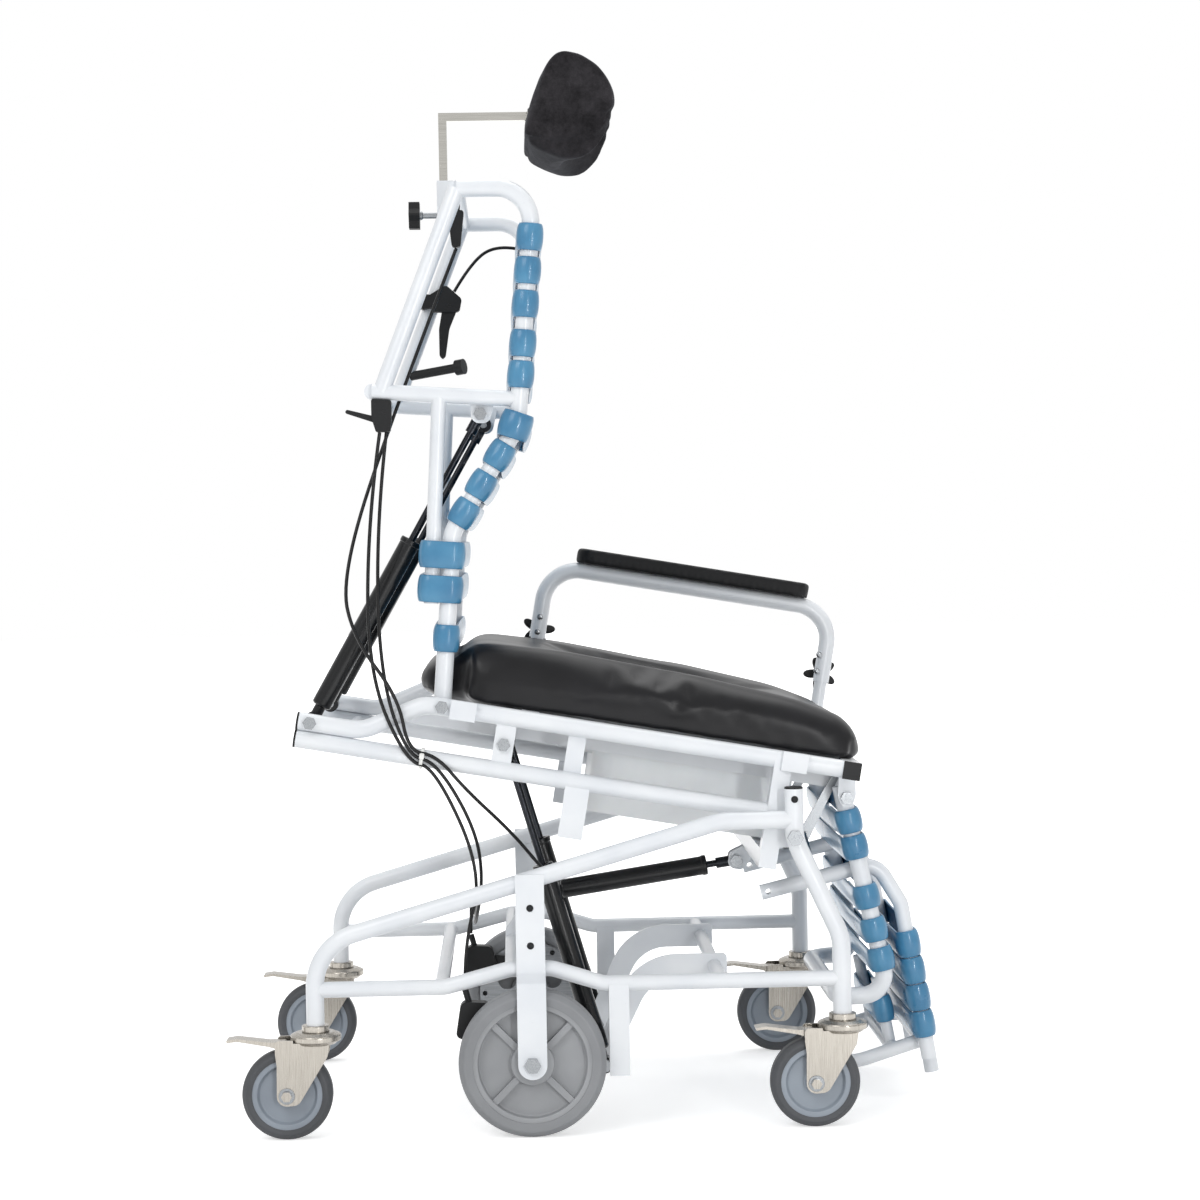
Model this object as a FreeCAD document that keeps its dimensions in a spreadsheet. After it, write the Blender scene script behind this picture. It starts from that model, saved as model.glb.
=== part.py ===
"""Tilting shower commode chair: a wheeled base, a seat that tilts on it, a reclining strap back with
a headrest, a swinging leg rest with a sliding foot rest, and the gas springs between them.

Frame: +X is the way the chair faces, +Z is up, and the origin is on the floor under its middle.
All sizes are millimetres and angles are degrees. Seat pieces are drawn in the seat's own frame,
whose origin is the tilt pivot and whose X axis runs along the seat rails.
"""
import FreeCAD, Part
import math
import os
import re

SIZES = {
    # Base: two bent side frames of round tube
    "track_half": 285.0,
    "rear_post_x": -385.0,
    "front_post_x": 346.0,
    "post_foot_z": 157.0,
    "post_top_z": 470.0,
    "upper_tube_od": 25.0,
    "front_post_od": 26.0,
    "lower_tube_od": 22.0,
    "cross_tube_od": 20.0,
    "rail_rear_z": 266.0,
    "rail_front_z": 427.0,
    "rail_knee_x": 182.0,
    "lower_rail_z": 205.0,
    "hump_rise": 23.0,
    "frame_bend": 76.0,
    "rear_cross_x": -210.0,
    "mid_cross_x": -112.0,
    "front_cross_x": 178.0,
    "channel_width": 28.0,
    "channel_length": 127.0,
    "channel_x": 35.0,
    # Middle wheels and their disc brakes
    "wheel_x": -86.0,
    "wheel_d": 204.0,
    "wheel_width": 44.0,
    "wheel_plane": 304.0,
    "tyre_depth": 20.0,
    "rim_depth": 7.0,
    "hub_d": 60.0,
    "axle_d": 12.0,
    "plate_width": 40.0,
    "plate_thick": 6.0,
    "plate_jog": 30.0,
    "rotor_d": 160.0,
    "rotor_thick": 2.0,
    # Casters
    "caster_d": 125.0,
    "caster_width": 32.0,
    "caster_tyre": 14.0,
    "caster_trail": 40.0,
    "caster_axle_d": 8.0,
    "stem_d": 19.0,
    "stem_length": 58.0,
    "kingpin_d": 12.0,
    "collar_d": 38.0,
    "collar_height": 8.5,
    "swivel_d": 70.0,
    "swivel_height": 17.0,
    "fork_thick": 3.5,
    "pedal_reach": 122.6,
    "pedal_width": 28.0,
    # Fits
    "fit": 0.05,
    "gap": 0.4,
    "bolt_d": 10.0,
    "pivot_d": 12.0,
    # Seat frame, in the seat's own frame
    "pivot_x": 283.0,
    "pivot_z": 403.0,
    "seat_pitch": 10.0,
    "rail_half": 248.0,
    "seat_tube_od": 25.0,
    "low_rail_w": 26.0,
    "top_rail_w": 101.0,
    "rail_rear_u": -705.0,
    "square_tube": 25.0,
    "front_tube_u": 68.0,
    "leg_u": -28.0,
    "leg_foot_w": -52.0,
    "arm_post_u": -388.0,
    "runner_half": 150.0,
    "runner_w": 66.0,
    # Seat cushion
    "cushion_half": 238.0,
    "cushion_front_u": 92.0,
    "cushion_rear_u": -557.0,
    "cushion_height": 88.0,
    "opening_length": 270.0,
    "opening_width": 190.0,
    # Commode pan
    "pan_length": 292.0,
    "pan_half": 134.0,
    "pan_depth": 92.0,
    "pan_wall": 3.0,
    # Back
    "hinge_u": -511.0,
    "back_half": 220.0,
    "back_tube_od": 25.0,
    "handle_od": 22.0,
    "strap_height": 38.0,
    "strap_wall": 4.0,
    "calf_strap_height": 34.0,
    # Gas springs
    "cylinder_d": 28.0,
    "cylinder_bore": 18.0,
    "piston_rod_d": 10.0,
    "eye_d": 24.0,
    "eye_width": 24.0,
    "recline_plane": 188.0,
    "recline_foot_u": -689.0,
    "recline_foot_w": 51.0,
    "recline_length": 290.0,
    "tilt_plane": 170.0,
    "tilt_head_u": -418.0,
    "tilt_head_w": 62.0,
    "tilt_foot_x": 17.0,
    "tilt_foot_z": 71.0,
    "tilt_length": 300.0,
    "lock_anchor_x": -60.0,
    "lock_anchor_z": 298.0,
    "lock_head_u": -48.0,
    "lock_head_w": -73.5,
    "lock_length": 262.0,
    # Arm rest
    "arm_plane": 274.0,
    "arm_tube_od": 25.4,
    "arm_post_d": 20.0,
    "arm_rail_w": 314.0,
    "arm_skirt_w": 199.0,
    "arm_pad_thick": 24.0,
    # Head rest
    "head_post_x": -192.0,
    "head_bar_z": 1447.0,
    "head_ball_x": -62.0,
    "head_bar": 12.0,
    "head_pad_half": 125.0,
    # Leg rest and foot rest
    "leg_hinge_x": 366.0,
    "leg_hinge_z": 448.0,
    "leg_half": 190.0,
    "leg_tube_od": 25.0,
    "foot_half": 160.0,
    "foot_tube_od": 22.0,
    "foot_bar_od": 20.0,
    # Control cables
    "cable_d": 5.0,
}

Vector = FreeCAD.Vector
X_AXIS = Vector(1, 0, 0)
Y_AXIS = Vector(0, 1, 0)
Z_AXIS = Vector(0, 0, 1)
WORLD = FreeCAD.Placement()

doc = FreeCAD.newDocument("shower_commode_chair")
sheet = doc.addObject("Spreadsheet::Sheet", "Sizes")
for row, (alias, number) in enumerate(SIZES.items(), 1):
    sheet.set(f"A{row}", alias)
    sheet.set(f"B{row}", str(number))
    sheet.setAlias(f"B{row}", alias)
doc.recompute()


def size(alias):
    """A driving dimension, read from the sheet."""
    return float(getattr(sheet, alias))


def bind(piece, **expressions):
    """Bind properties to the sheet; each bare alias in an expression becomes a cell of the sheet."""
    for prop, text in expressions.items():
        full = re.sub(r"[a-z_]+", lambda word: "Sizes." + word.group() if word.group() in SIZES
                      else word.group(), text)
        piece.setExpression(prop, full)


# Helpers that draw one object each

def rounded_edges(corners, closed=False):
    """Lines through the corners (point, radius), with an arc at each corner that has a radius."""
    count = len(corners)
    edges = []
    trims = []
    for index, (point, radius) in enumerate(corners):
        inner = closed or 0 < index < count - 1
        if not inner or radius == 0:
            trims.append((point, point))
            continue
        back = (corners[index - 1][0] - point).normalize()
        onward = (corners[(index + 1) % count][0] - point).normalize()
        half = back.getAngle(onward) / 2
        reach = radius / math.tan(half)
        middle = point + (back + onward).normalize() * (radius / math.sin(half) - radius)
        first = point + back * reach
        last = point + onward * reach
        edges.append((index, Part.Arc(first, middle, last)))
        trims.append((first, last))
    for index in range(count if closed else count - 1):
        start = trims[index][1]
        end = trims[(index + 1) % count][0]
        if (end - start).Length > 1e-6:
            edges.append((index + 0.5, Part.LineSegment(start, end)))
    return [edge for order, edge in sorted(edges, key=lambda item: item[0])]


def tube(name, points, diameter, bend, frame=WORLD):
    """A round bar swept along straight runs joined by tangent bends of one radius."""
    return swept(name, [(frame.multVec(point), bend) for point in points], diameter)


def swept(name, corners, diameter):
    """A round bar swept along (point, bend radius) corners."""
    edges = rounded_edges(corners)
    path = doc.addObject("Part::Feature", name + "_path")
    path.Shape = Part.Wire([edge.toShape() for edge in edges])
    profile = doc.addObject("Part::Circle", name + "_profile")
    bind(profile, Radius=f"({diameter}) / 2")
    heading = corners[1][0] - corners[0][0]
    profile.Placement = FreeCAD.Placement(corners[0][0], FreeCAD.Rotation(Z_AXIS, heading))
    sweep = doc.addObject("Part::Sweep", name)
    sweep.Sections = [profile]
    sweep.Spine = (path, [f"Edge{number}" for number in range(1, len(edges) + 1)])
    sweep.Solid = True
    return sweep


def rod(name, diameter, start, end, frame=WORLD):
    """A straight cylinder from one point to another."""
    piece = doc.addObject("Part::Cylinder", name)
    bind(piece, Radius=f"({diameter}) / 2")
    piece.Height = (end - start).Length
    piece.Placement = frame * FreeCAD.Placement(start, FreeCAD.Rotation(Z_AXIS, end - start))
    return piece


def box(name, low, high, frame=WORLD):
    """A box between two opposite corners."""
    piece = doc.addObject("Part::Box", name)
    piece.Length, piece.Width, piece.Height = high - low
    piece.Placement = frame * FreeCAD.Placement(low, FreeCAD.Rotation())
    return piece


def sketch_body(name, loops):
    """A body with one sketch on its XY plane that holds the given closed loops of edges."""
    body = doc.addObject("PartDesign::Body", name)
    sketch = body.newObject("Sketcher::SketchObject", name + "_sketch")
    plane = [item for item in body.Origin.OriginFeatures if item.Role == "XY_Plane"][0]
    sketch.AttachmentSupport = [(plane, "")]
    sketch.MapMode = "FlatFace"
    for loop in loops:
        sketch.addGeometry(loop, False)
    return body, sketch


def flat_loop(corners):
    """A closed outline from (x, y, radius) corners."""
    return rounded_edges([(Vector(x, y, 0), radius) for x, y, radius in corners], closed=True)


def round_loop(x, y, radius):
    """A full circle for a sketch."""
    return [Part.Circle(Vector(x, y, 0), Z_AXIS, radius)]


def slab(name, loops, thickness, placement):
    """A padded sketch; the sketch's normal is the thickness direction."""
    body, sketch = sketch_body(name, loops)
    pad = body.newObject("PartDesign::Pad", name + "_pad")
    pad.Profile = sketch
    bind(pad, Length=thickness)
    body.Placement = placement
    return body


def side_slab(name, loops, thickness, y_face, frame=WORLD):
    """A slab drawn in the XZ plane; its far face is at y_face and it is thick towards -Y."""
    upright = FreeCAD.Placement(Vector(0, y_face, 0), FreeCAD.Rotation(X_AXIS, 90))
    return slab(name, loops, thickness, frame * upright)


def turned(name, corners, origin, axis, frame=WORLD):
    """A profile of (radius, height, fillet) corners revolved about an axis through the origin."""
    body, sketch = sketch_body(name, [flat_loop(corners)])
    spin = body.newObject("PartDesign::Revolution", name + "_turn")
    spin.Profile = sketch
    spin.ReferenceAxis = (sketch, ["V_Axis"])
    spin.Angle = 360
    body.Placement = frame * FreeCAD.Placement(origin, FreeCAD.Rotation(Y_AXIS, axis))
    return body


def fuse(name, pieces):
    """Welded pieces as one solid."""
    piece = doc.addObject("Part::MultiFuse", name)
    piece.Shapes = pieces
    return piece


def cut(name, base, tools):
    """A piece with holes or slots taken out."""
    tool = tools[0]
    if len(tools) > 1:
        tool = doc.addObject("Part::Compound", name + "_tools")
        tool.Links = tools
    piece = doc.addObject("Part::Cut", name)
    piece.Base = base
    piece.Tool = tool
    return piece


def mirrored(name, source):
    """The same piece on the other side of the chair."""
    piece = doc.addObject("Part::Mirroring", name)
    piece.Source = source
    piece.Normal = Y_AXIS
    return piece


def pair(name, source):
    """A piece and its mirror image."""
    return [source, mirrored(name, source)]


def bolt(name, diameter, start, end, frame=WORLD, nut=False):
    """A hex bolt with its head outside the start point, and a nut outside the end if asked."""
    along = (end - start).normalize()
    parts = [rod(name + "_shank", diameter, start, end, frame)]
    seats = [start - along * HEAD_HEIGHT] + ([end] if nut else [])
    for number, seat in enumerate(seats):
        head = doc.addObject("Part::Prism", f"{name}_hex{number}")
        head.Polygon = 6
        bind(head, Circumradius=f"({diameter}) * 0.95")
        head.Height = HEAD_HEIGHT
        head.Placement = frame * FreeCAD.Placement(seat, FreeCAD.Rotation(Z_AXIS, along))
        parts.append(head)
    return fuse(name, parts)


nodes = {}


def node(label, pieces):
    """Name a sub-part; several loose solids share a node as a compound."""
    piece = pieces[0]
    if len(pieces) > 1:
        piece = doc.addObject("Part::Compound", label)
        piece.Links = pieces
    piece.Label = label
    nodes[label] = piece
    return piece


HEAD_HEIGHT = 6.0
CAP_HEIGHT = 3.0

# Shared places

fit = size("fit")
track = size("track_half")
axle_z = size("wheel_d") / 2
pivot = Vector(size("pivot_x"), 0, size("pivot_z"))
SEAT = FreeCAD.Placement(pivot, FreeCAD.Rotation(Y_AXIS, size("seat_pitch")))
rail_y = size("rail_half")
hinge = SEAT.multVec(Vector(size("hinge_u"), 0, size("top_rail_w")))
leg_hinge = Vector(size("leg_hinge_x"), 0, size("leg_hinge_z"))


def on_plane(points, y):
    """Side-view points (x, z) placed on one plane across the chair."""
    return [Vector(x, y, z) for x, z in points]


# Base

def base_side_frame():
    """Right side frame: rear post and upper rail, lower rail, front post, wheel plates, channel."""
    foot = size("post_foot_z")
    rear = size("rear_post_x")
    front = size("front_post_x")
    low = size("lower_rail_z")
    hump = low + size("hump_rise")
    wheel = size("wheel_x")
    bend = size("frame_bend")
    knee = size("rail_knee_x")
    upper = tube("upper_tube", on_plane([
        (rear, foot), (rear, size("rail_rear_z")), (knee, size("rail_front_z")),
        (pivot.x, size("rail_front_z"))], -track), "upper_tube_od", bend)
    post = tube("front_post", on_plane([
        (pivot.x, size("post_top_z")), (pivot.x, pivot.z - 3), (front, low + 57), (front, foot)],
        -track), "front_post_od", bend)
    lower = tube("lower_tube", on_plane([
        (rear, low), (wheel - 119, low), (wheel - 29, hump), (wheel + 29, hump),
        (wheel + 101, low), (front, low)], -track), "lower_tube_od", 40)
    half = size("plate_width") / 2
    thick = size("plate_thick")
    outside = -track - size("upper_tube_od") / 2 + SINK
    outer = slab("outer_plate", [flat_loop([
        (outside, size("rail_front_z") - 67, 0), (outside - thick, size("rail_front_z") - 67, 0),
        (outside - thick, low + 19, 4), (outside - thick - size("plate_jog"), low + 9, 4),
        (outside - thick - size("plate_jog"), axle_z, 0), (outside - size("plate_jog"), axle_z, 0),
        (outside - size("plate_jog"), low + 5, 4), (outside, low + 15, 4)])], "plate_width",
        FreeCAD.Placement(Vector(wheel - half, 0, 0), FreeCAD.Rotation(Vector(1, 1, 1), 120)))
    outer_face = outside - size("plate_jog")
    outer_end = rod("outer_plate_end", "plate_width", Vector(wheel, outer_face, axle_z),
                    Vector(wheel, outer_face - thick, axle_z))
    inside = -track + size("lower_tube_od") / 2 - SINK
    inner = box("inner_plate", Vector(wheel - half, inside, axle_z),
                Vector(wheel + half, inside + thick, hump + 8))
    inner_end = rod("inner_plate_end", "plate_width", Vector(wheel, inside, axle_z),
                    Vector(wheel, inside + thick, axle_z))
    half_channel = size("channel_width") / 2
    channel_x = size("channel_x")
    bottom = low - size("channel_length")
    channel = cut("channel", box("channel_block", Vector(channel_x - half_channel, -track - 12.5, bottom),
                                 Vector(channel_x + half_channel, -track + 12.5, low)),
                  [box("channel_slot", Vector(channel_x - half_channel + 3, -track - 9.5, bottom - 1),
                       Vector(channel_x + half_channel + 1, -track + 9.5, low + 1))])
    body = fuse("side_frame_welded", [upper, post, lower, outer, outer_end, inner, inner_end, channel])
    holes = [rod(f"stem_bore_{x:.0f}", "stem_d + 2 * fit", Vector(x, -track, foot - 1),
                 Vector(x, -track, foot + size("stem_length") + 1)) for x in (rear, front)]
    holes.append(rod("tilt_hole", "pivot_d + 2 * fit", Vector(pivot.x, -track - 20, pivot.z),
                     Vector(pivot.x, -track + 20, pivot.z)))
    holes.append(rod("axle_hole", "axle_d + 2 * fit", Vector(wheel, outer_face - 20, axle_z),
                     Vector(wheel, inside + 20, axle_z)))
    return cut("side_frame", body, holes), outer_face, inside


SINK = 0.6

right_frame, outer_face, inner_face = base_side_frame()
left_frame = mirrored("left_frame", right_frame)
node("base_frame_right", [right_frame])
node("base_frame_left", [left_frame])

ANCHOR_EAR = (9.0, 5.0)


def cross_members():
    """Three lateral tubes between the lower rails; the middle one carries the lock spring's ears."""
    low = size("lower_rail_z")
    heights = {"rear": low, "mid": low + size("hump_rise"), "front": low}
    frames = [right_frame, left_frame]
    pieces = []
    for key, height in heights.items():
        x = size(key + "_cross_x")
        bar = rod(key + "_cross", "cross_tube_od", Vector(x, -track, height), Vector(x, track, height))
        if key == "mid":
            anchor_x = size("lock_anchor_x")
            anchor_z = size("lock_anchor_z")
            ear_y, ear_thick = ANCHOR_EAR
            loops = [flat_loop([(x - 8, height - 6, 3), (x + 10, height - 6, 3),
                                (anchor_x + 14, anchor_z - 14, 10), (anchor_x + 12, anchor_z + 13, 12),
                                (anchor_x - 12, anchor_z + 13, 12), (x - 10, height + 14, 6)]),
                     round_loop(anchor_x, anchor_z, size("bolt_d") / 2 + fit)]
            ear = side_slab("anchor_ear", loops, str(ear_thick), -ear_y)
            bar = fuse("mid_cross_welded", [bar] + pair("anchor_ear_left", ear))
        pieces.append(cut(key + "_cross_fitted", bar, frames))
    return pieces


node("base_cross_members", cross_members())

CRADLE_INNER = 147.0


def spring_cradle():
    """Two curved flat bars from the front cross tube down to the tilt springs' feet, and their tie."""
    foot_x = size("tilt_foot_x")
    foot_z = size("tilt_foot_z")
    cross_x = size("front_cross_x")
    low = size("lower_rail_z")
    loops = [flat_loop([(cross_x + 18, low - 16, 6), (cross_x + 18, low + 18, 6),
                        (foot_x + 49, low + 18, 90), (foot_x - 16, foot_z + 9, 10),
                        (foot_x - 14, foot_z - 16, 13), (foot_x + 16, foot_z - 16, 13),
                        (foot_x + 19, foot_z + 14, 10), (foot_x + 71, low - 16, 60)]),
             round_loop(cross_x, low, size("cross_tube_od") / 2 + fit),
             round_loop(foot_x, foot_z, size("bolt_d") / 2 + fit)]
    bar = side_slab("cradle_bar", loops, "plate_thick", -CRADLE_INNER)
    channel_face = track - 12.5
    tie_x = size("channel_x") + 5
    tie = box("cradle_tie", Vector(tie_x, -channel_face, low - 95), Vector(tie_x + 8, channel_face,
                                                                           low - 70))
    return fuse("cradle_welded", pair("cradle_bar_left", bar) + [tie])


node("spring_cradle", [spring_cradle()])

post_cap = turned("post_cap", [(0, 0, 0), (size("front_post_od") / 2, 0, 0),
                               (size("front_post_od") / 2, CAP_HEIGHT, 2), (0, CAP_HEIGHT, 0)],
                  Vector(pivot.x, -track, size("post_top_z")), Z_AXIS)
node("base_caps", pair("post_cap_left", post_cap))


def base_bolts():
    """Wheel axles, tilt pivots, tilt-spring feet and the lock spring's anchor pin."""
    wheel = size("wheel_x")
    thick = size("plate_thick")
    y_axle = outer_face - thick
    axle = bolt("axle_bolt", "axle_d", Vector(wheel, y_axle, axle_z),
                Vector(wheel, inner_face + thick, axle_z), nut=True)
    tilt = bolt("tilt_bolt", "pivot_d", Vector(pivot.x, -track - size("front_post_od") / 2, pivot.z),
                Vector(pivot.x, -rail_y + 6.5, pivot.z))
    reach = size("tilt_plane") + size("eye_width") / 2
    foot = bolt("tilt_foot_bolt", "bolt_d", Vector(size("tilt_foot_x"), -CRADLE_INNER, size("tilt_foot_z")),
                Vector(size("tilt_foot_x"), -reach - 1, size("tilt_foot_z")), nut=True)
    ear_out = sum(ANCHOR_EAR)
    anchor = bolt("anchor_bolt", "bolt_d", Vector(size("lock_anchor_x"), -ear_out, size("lock_anchor_z")),
                  Vector(size("lock_anchor_x"), ear_out, size("lock_anchor_z")), nut=True)
    sides = [piece for source in (axle, tilt, foot) for piece in pair(source.Name + "_left", source)]
    return sides + [anchor]


node("base_bolts", base_bolts())


def brake_caliper():
    """Cable-pulled caliper beside the rotor, on an arm that is bolted to the inner wheel plate."""
    wheel = size("wheel_x")
    face = inner_face + size("plate_thick")
    pads = -size("wheel_plane") + size("wheel_width") / 2 + 6.5
    block = side_slab("caliper_block", [flat_loop([
        (wheel - 106, axle_z + 30, 8), (wheel - 66, axle_z + 22, 8), (wheel - 52, axle_z + 50, 8),
        (wheel - 60, axle_z + 78, 10), (wheel - 98, axle_z + 80, 10)])], "22", pads + 22)
    arm = side_slab("caliper_arm", [flat_loop([
        (wheel - 62, axle_z + 30, 5), (wheel - 2, axle_z + 26, 6), (wheel + 12, axle_z + 44, 8),
        (wheel - 4, axle_z + 60, 8), (wheel - 62, axle_z + 62, 5)])], "plate_thick",
        face + size("plate_thick"))
    top = Vector(wheel - 92, pads + 11, axle_z + 96)
    barrel = rod("caliper_barrel", "9", Vector(wheel - 86, pads + 11, axle_z + 74), top)
    return fuse("caliper", [block, arm, barrel]), top + Z_AXIS * 2


caliper, brake_barrel_top = brake_caliper()
node("brake_calipers", pair("caliper_left", caliper))

# Middle wheels

def middle_wheel(side, sign):
    """Tyre, ribbed hub and brake rotor of one middle wheel."""
    wheel = size("wheel_x")
    plane = sign * size("wheel_plane")
    centre = Vector(wheel, plane, axle_z)
    radius = size("wheel_d") / 2
    half = size("wheel_width") / 2
    rim_outer = radius - size("tyre_depth")
    rim_inner = rim_outer - size("rim_depth")
    bore = size("axle_d") / 2 + fit
    tyre = turned(f"tyre_{side}", [
        (rim_outer, -half + 2, 0), (radius - 8, -half, 4), (radius, -half + 9, 8),
        (radius, half - 9, 8), (radius - 8, half, 4), (rim_outer, half - 2, 0)], centre, Y_AXIS)
    node(f"wheel_tyre_{side}", [tyre])
    out_end = (abs(outer_face) - size("wheel_plane")) - size("gap")
    in_end = -(size("wheel_plane") - abs(inner_face)) + size("gap")
    low, high = (-out_end, -in_end) if sign < 0 else (in_end, out_end)
    hub_r = size("hub_d") / 2
    core = turned(f"hub_core_{side}", [
        (bore, low, 0), (hub_r * 0.5, low, 0), (hub_r * 0.5, -half + 3, 0), (hub_r, -half + 5, 2),
        (hub_r, -5, 2), (rim_inner, -5, 3), (rim_inner, -half + 5, 2), (rim_outer, -half + 4, 0),
        (rim_outer, half - 4, 0), (rim_inner, half - 5, 2), (rim_inner, 5, 3), (hub_r, 5, 2),
        (hub_r, half - 5, 2), (hub_r * 0.5, half - 3, 0), (hub_r * 0.5, high, 0), (bore, high, 0)],
        centre, Y_AXIS)
    ribs = []
    for number in range(4):
        turn = FreeCAD.Placement(centre, FreeCAD.Rotation(Y_AXIS, 45 + 90 * number))
        ribs.append(box(f"hub_rib_{side}_{number}", Vector(hub_r - 2, -half + 9, -4.5),
                        Vector(rim_inner + 2, half - 9, 4.5), turn))
    node(f"wheel_hub_{side}", [fuse(f"hub_{side}", [core] + ribs)])
    rotor_r = size("rotor_d") / 2
    rotor_y = plane - sign * (half + 3)
    loops = [round_loop(0, 0, rotor_r), round_loop(0, 0, hub_r * 0.5 + fit)]
    for number in range(ROTOR_HOLES):
        angle = 2 * math.pi * number / ROTOR_HOLES
        loops.append(round_loop((rotor_r - 8) * math.cos(angle), (rotor_r - 8) * math.sin(angle), 4))
    for number in range(6):
        angle = 2 * math.pi * (number + 0.5) / 6
        loops.append(round_loop(rotor_r * 0.52 * math.cos(angle), rotor_r * 0.52 * math.sin(angle), 15))
    upright = FreeCAD.Placement(Vector(wheel, rotor_y + size("rotor_thick") / 2, axle_z),
                                FreeCAD.Rotation(X_AXIS, 90))
    node(f"brake_rotor_{side}", [slab(f"rotor_{side}", loops, "rotor_thick", upright)])


ROTOR_HOLES = 18
middle_wheel("right", -1)
middle_wheel("left", 1)

# Casters

PEDAL_PIVOT = Vector(-46.0, 0, 131.5)
PEDAL_PIN_D = 6.0


def caster(label, x, y):
    """Swivel fork with its axle, wheel core, tyre and lock pedal; the stem goes up into the post."""
    stand = FreeCAD.Placement(Vector(x, y, 0), FreeCAD.Rotation())
    collar_low = size("post_foot_z") - size("collar_height")
    dish_high = collar_low - size("gap")
    dish_low = dish_high - size("swivel_height")
    king = size("kingpin_d") / 2
    collar = size("collar_d") / 2
    stem_r = size("stem_d") / 2
    stem = turned("stem_" + label, [
        (0, dish_low - 5, 0), (king + 4, dish_low - 5, 1.5), (king + 4, dish_low - size("gap"), 0),
        (king, dish_low - size("gap"), 0), (king, collar_low, 0), (collar, collar_low, 0),
        (collar, size("post_foot_z"), 1.5), (stem_r, size("post_foot_z"), 0),
        (stem_r, size("post_foot_z") + size("stem_length"), 2), (0,
                                                                 size("post_foot_z") + size("stem_length"), 0)],
        Vector(0, 0, 0), Z_AXIS, stand)
    swivel = size("swivel_d") / 2
    dish = turned("dish_" + label, [
        (king + fit, dish_low, 0), (swivel - 8, dish_low, 3), (swivel - 4, dish_low + 4, 0),
        (swivel, dish_low + 5, 2), (swivel, dish_high - 4, 3), (swivel - 9, dish_high, 3),
        (king + fit, dish_high, 0)], Vector(0, 0, 0), Z_AXIS, stand)
    axle_x = -size("caster_trail")
    axle_height = size("caster_d") / 2
    inner = size("caster_width") / 2 + 2
    thick = size("fork_thick")
    leg_loops = [flat_loop([
        (20, dish_low + 4, 0), (17, 116, 10), (axle_x + 16, axle_height - 13, 14),
        (axle_x - 14, axle_height - 15, 14), (axle_x - 13, 104, 12), (PEDAL_PIVOT.x - 9, 121, 5),
        (PEDAL_PIVOT.x - 9, dish_low + 8, 6), (-30, dish_low + 8, 0), (-30, dish_low + 4, 0)]),
        round_loop(axle_x, axle_height, size("caster_axle_d") / 2 + fit),
        round_loop(PEDAL_PIVOT.x, PEDAL_PIVOT.z, PEDAL_PIN_D / 2 + fit)]
    legs = [side_slab("leg_a_" + label, leg_loops, "fork_thick", -inner, stand),
            side_slab("leg_b_" + label, leg_loops, "fork_thick", inner + thick, stand)]
    fork = fuse("fork_" + label, [dish] + legs)
    axle = bolt("axle_" + label, "caster_axle_d", Vector(axle_x, -inner - thick, axle_height),
                Vector(axle_x, inner + thick, axle_height), stand, nut=True)
    pin = rod("pedal_pin_" + label, str(PEDAL_PIN_D), PEDAL_PIVOT - Y_AXIS * (inner + thick),
              PEDAL_PIVOT + Y_AXIS * (inner + thick), stand)
    node("caster_fork_" + label, [fork, axle, pin])

    radius = size("caster_d") / 2
    half = size("caster_width") / 2
    core_r = radius - size("caster_tyre")
    bore = size("caster_axle_d") / 2 + fit
    hub_end = inner - size("gap")
    spot = Vector(axle_x, 0, axle_height)
    core = turned("core_" + label, [
        (bore, -hub_end, 0), (14, -hub_end, 1), (14, -7, 3), (core_r - 10, -7, 3), (core_r - 7,
                                                                                    -half + 3, 2),
        (core_r, -half + 3, 0), (core_r, half - 3, 0), (core_r - 7, half - 3, 2), (core_r - 10, 7, 3),
        (14, 7, 3), (14, hub_end, 1), (bore, hub_end, 0)], spot, Y_AXIS, stand)
    node("caster_core_" + label, [core])
    tyre = turned("caster_tread_" + label, [
        (core_r, -half + 2, 0), (radius - 7, -half, 4), (radius, -half + 7, 7), (radius, half - 7, 7),
        (radius - 7, half, 4), (core_r, half - 2, 0)], spot, Y_AXIS, stand)
    node("caster_tyre_" + label, [tyre])

    reach = -size("pedal_reach")
    pedal_loops = [flat_loop([
        (PEDAL_PIVOT.x + 6, PEDAL_PIVOT.z - 4.6, 4), (PEDAL_PIVOT.x + 6, PEDAL_PIVOT.z + 4.6, 4),
        (PEDAL_PIVOT.x - 18, PEDAL_PIVOT.z + 4.6, 10), (reach + 14, 142, 10), (reach, 140, 1),
        (reach + 1, 136.5, 1), (reach + 15, 138, 10), (PEDAL_PIVOT.x - 18, 130, 10),
        (PEDAL_PIVOT.x - 8, PEDAL_PIVOT.z - 4.6, 4)]),
        round_loop(PEDAL_PIVOT.x, PEDAL_PIVOT.z, PEDAL_PIN_D / 2 + fit)]
    node("caster_pedal_" + label, [side_slab("pedal_" + label, pedal_loops, "pedal_width",
                                             size("pedal_width") / 2, stand)])
    return stem


CASTERS = {"rear_right": ("rear_post_x", -1), "rear_left": ("rear_post_x", 1),
           "front_right": ("front_post_x", -1), "front_left": ("front_post_x", 1)}
node("caster_stems", [caster(label, size(alias), sign * track) for label, (alias, sign) in CASTERS.items()])

# Seat frame, drawn in the seat's own frame

TILT_SPACER_END = size("tilt_plane") + size("eye_width") / 2 + 1
RECLINE_SPACER_END = size("recline_plane") + size("eye_width") / 2 + 1


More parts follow.
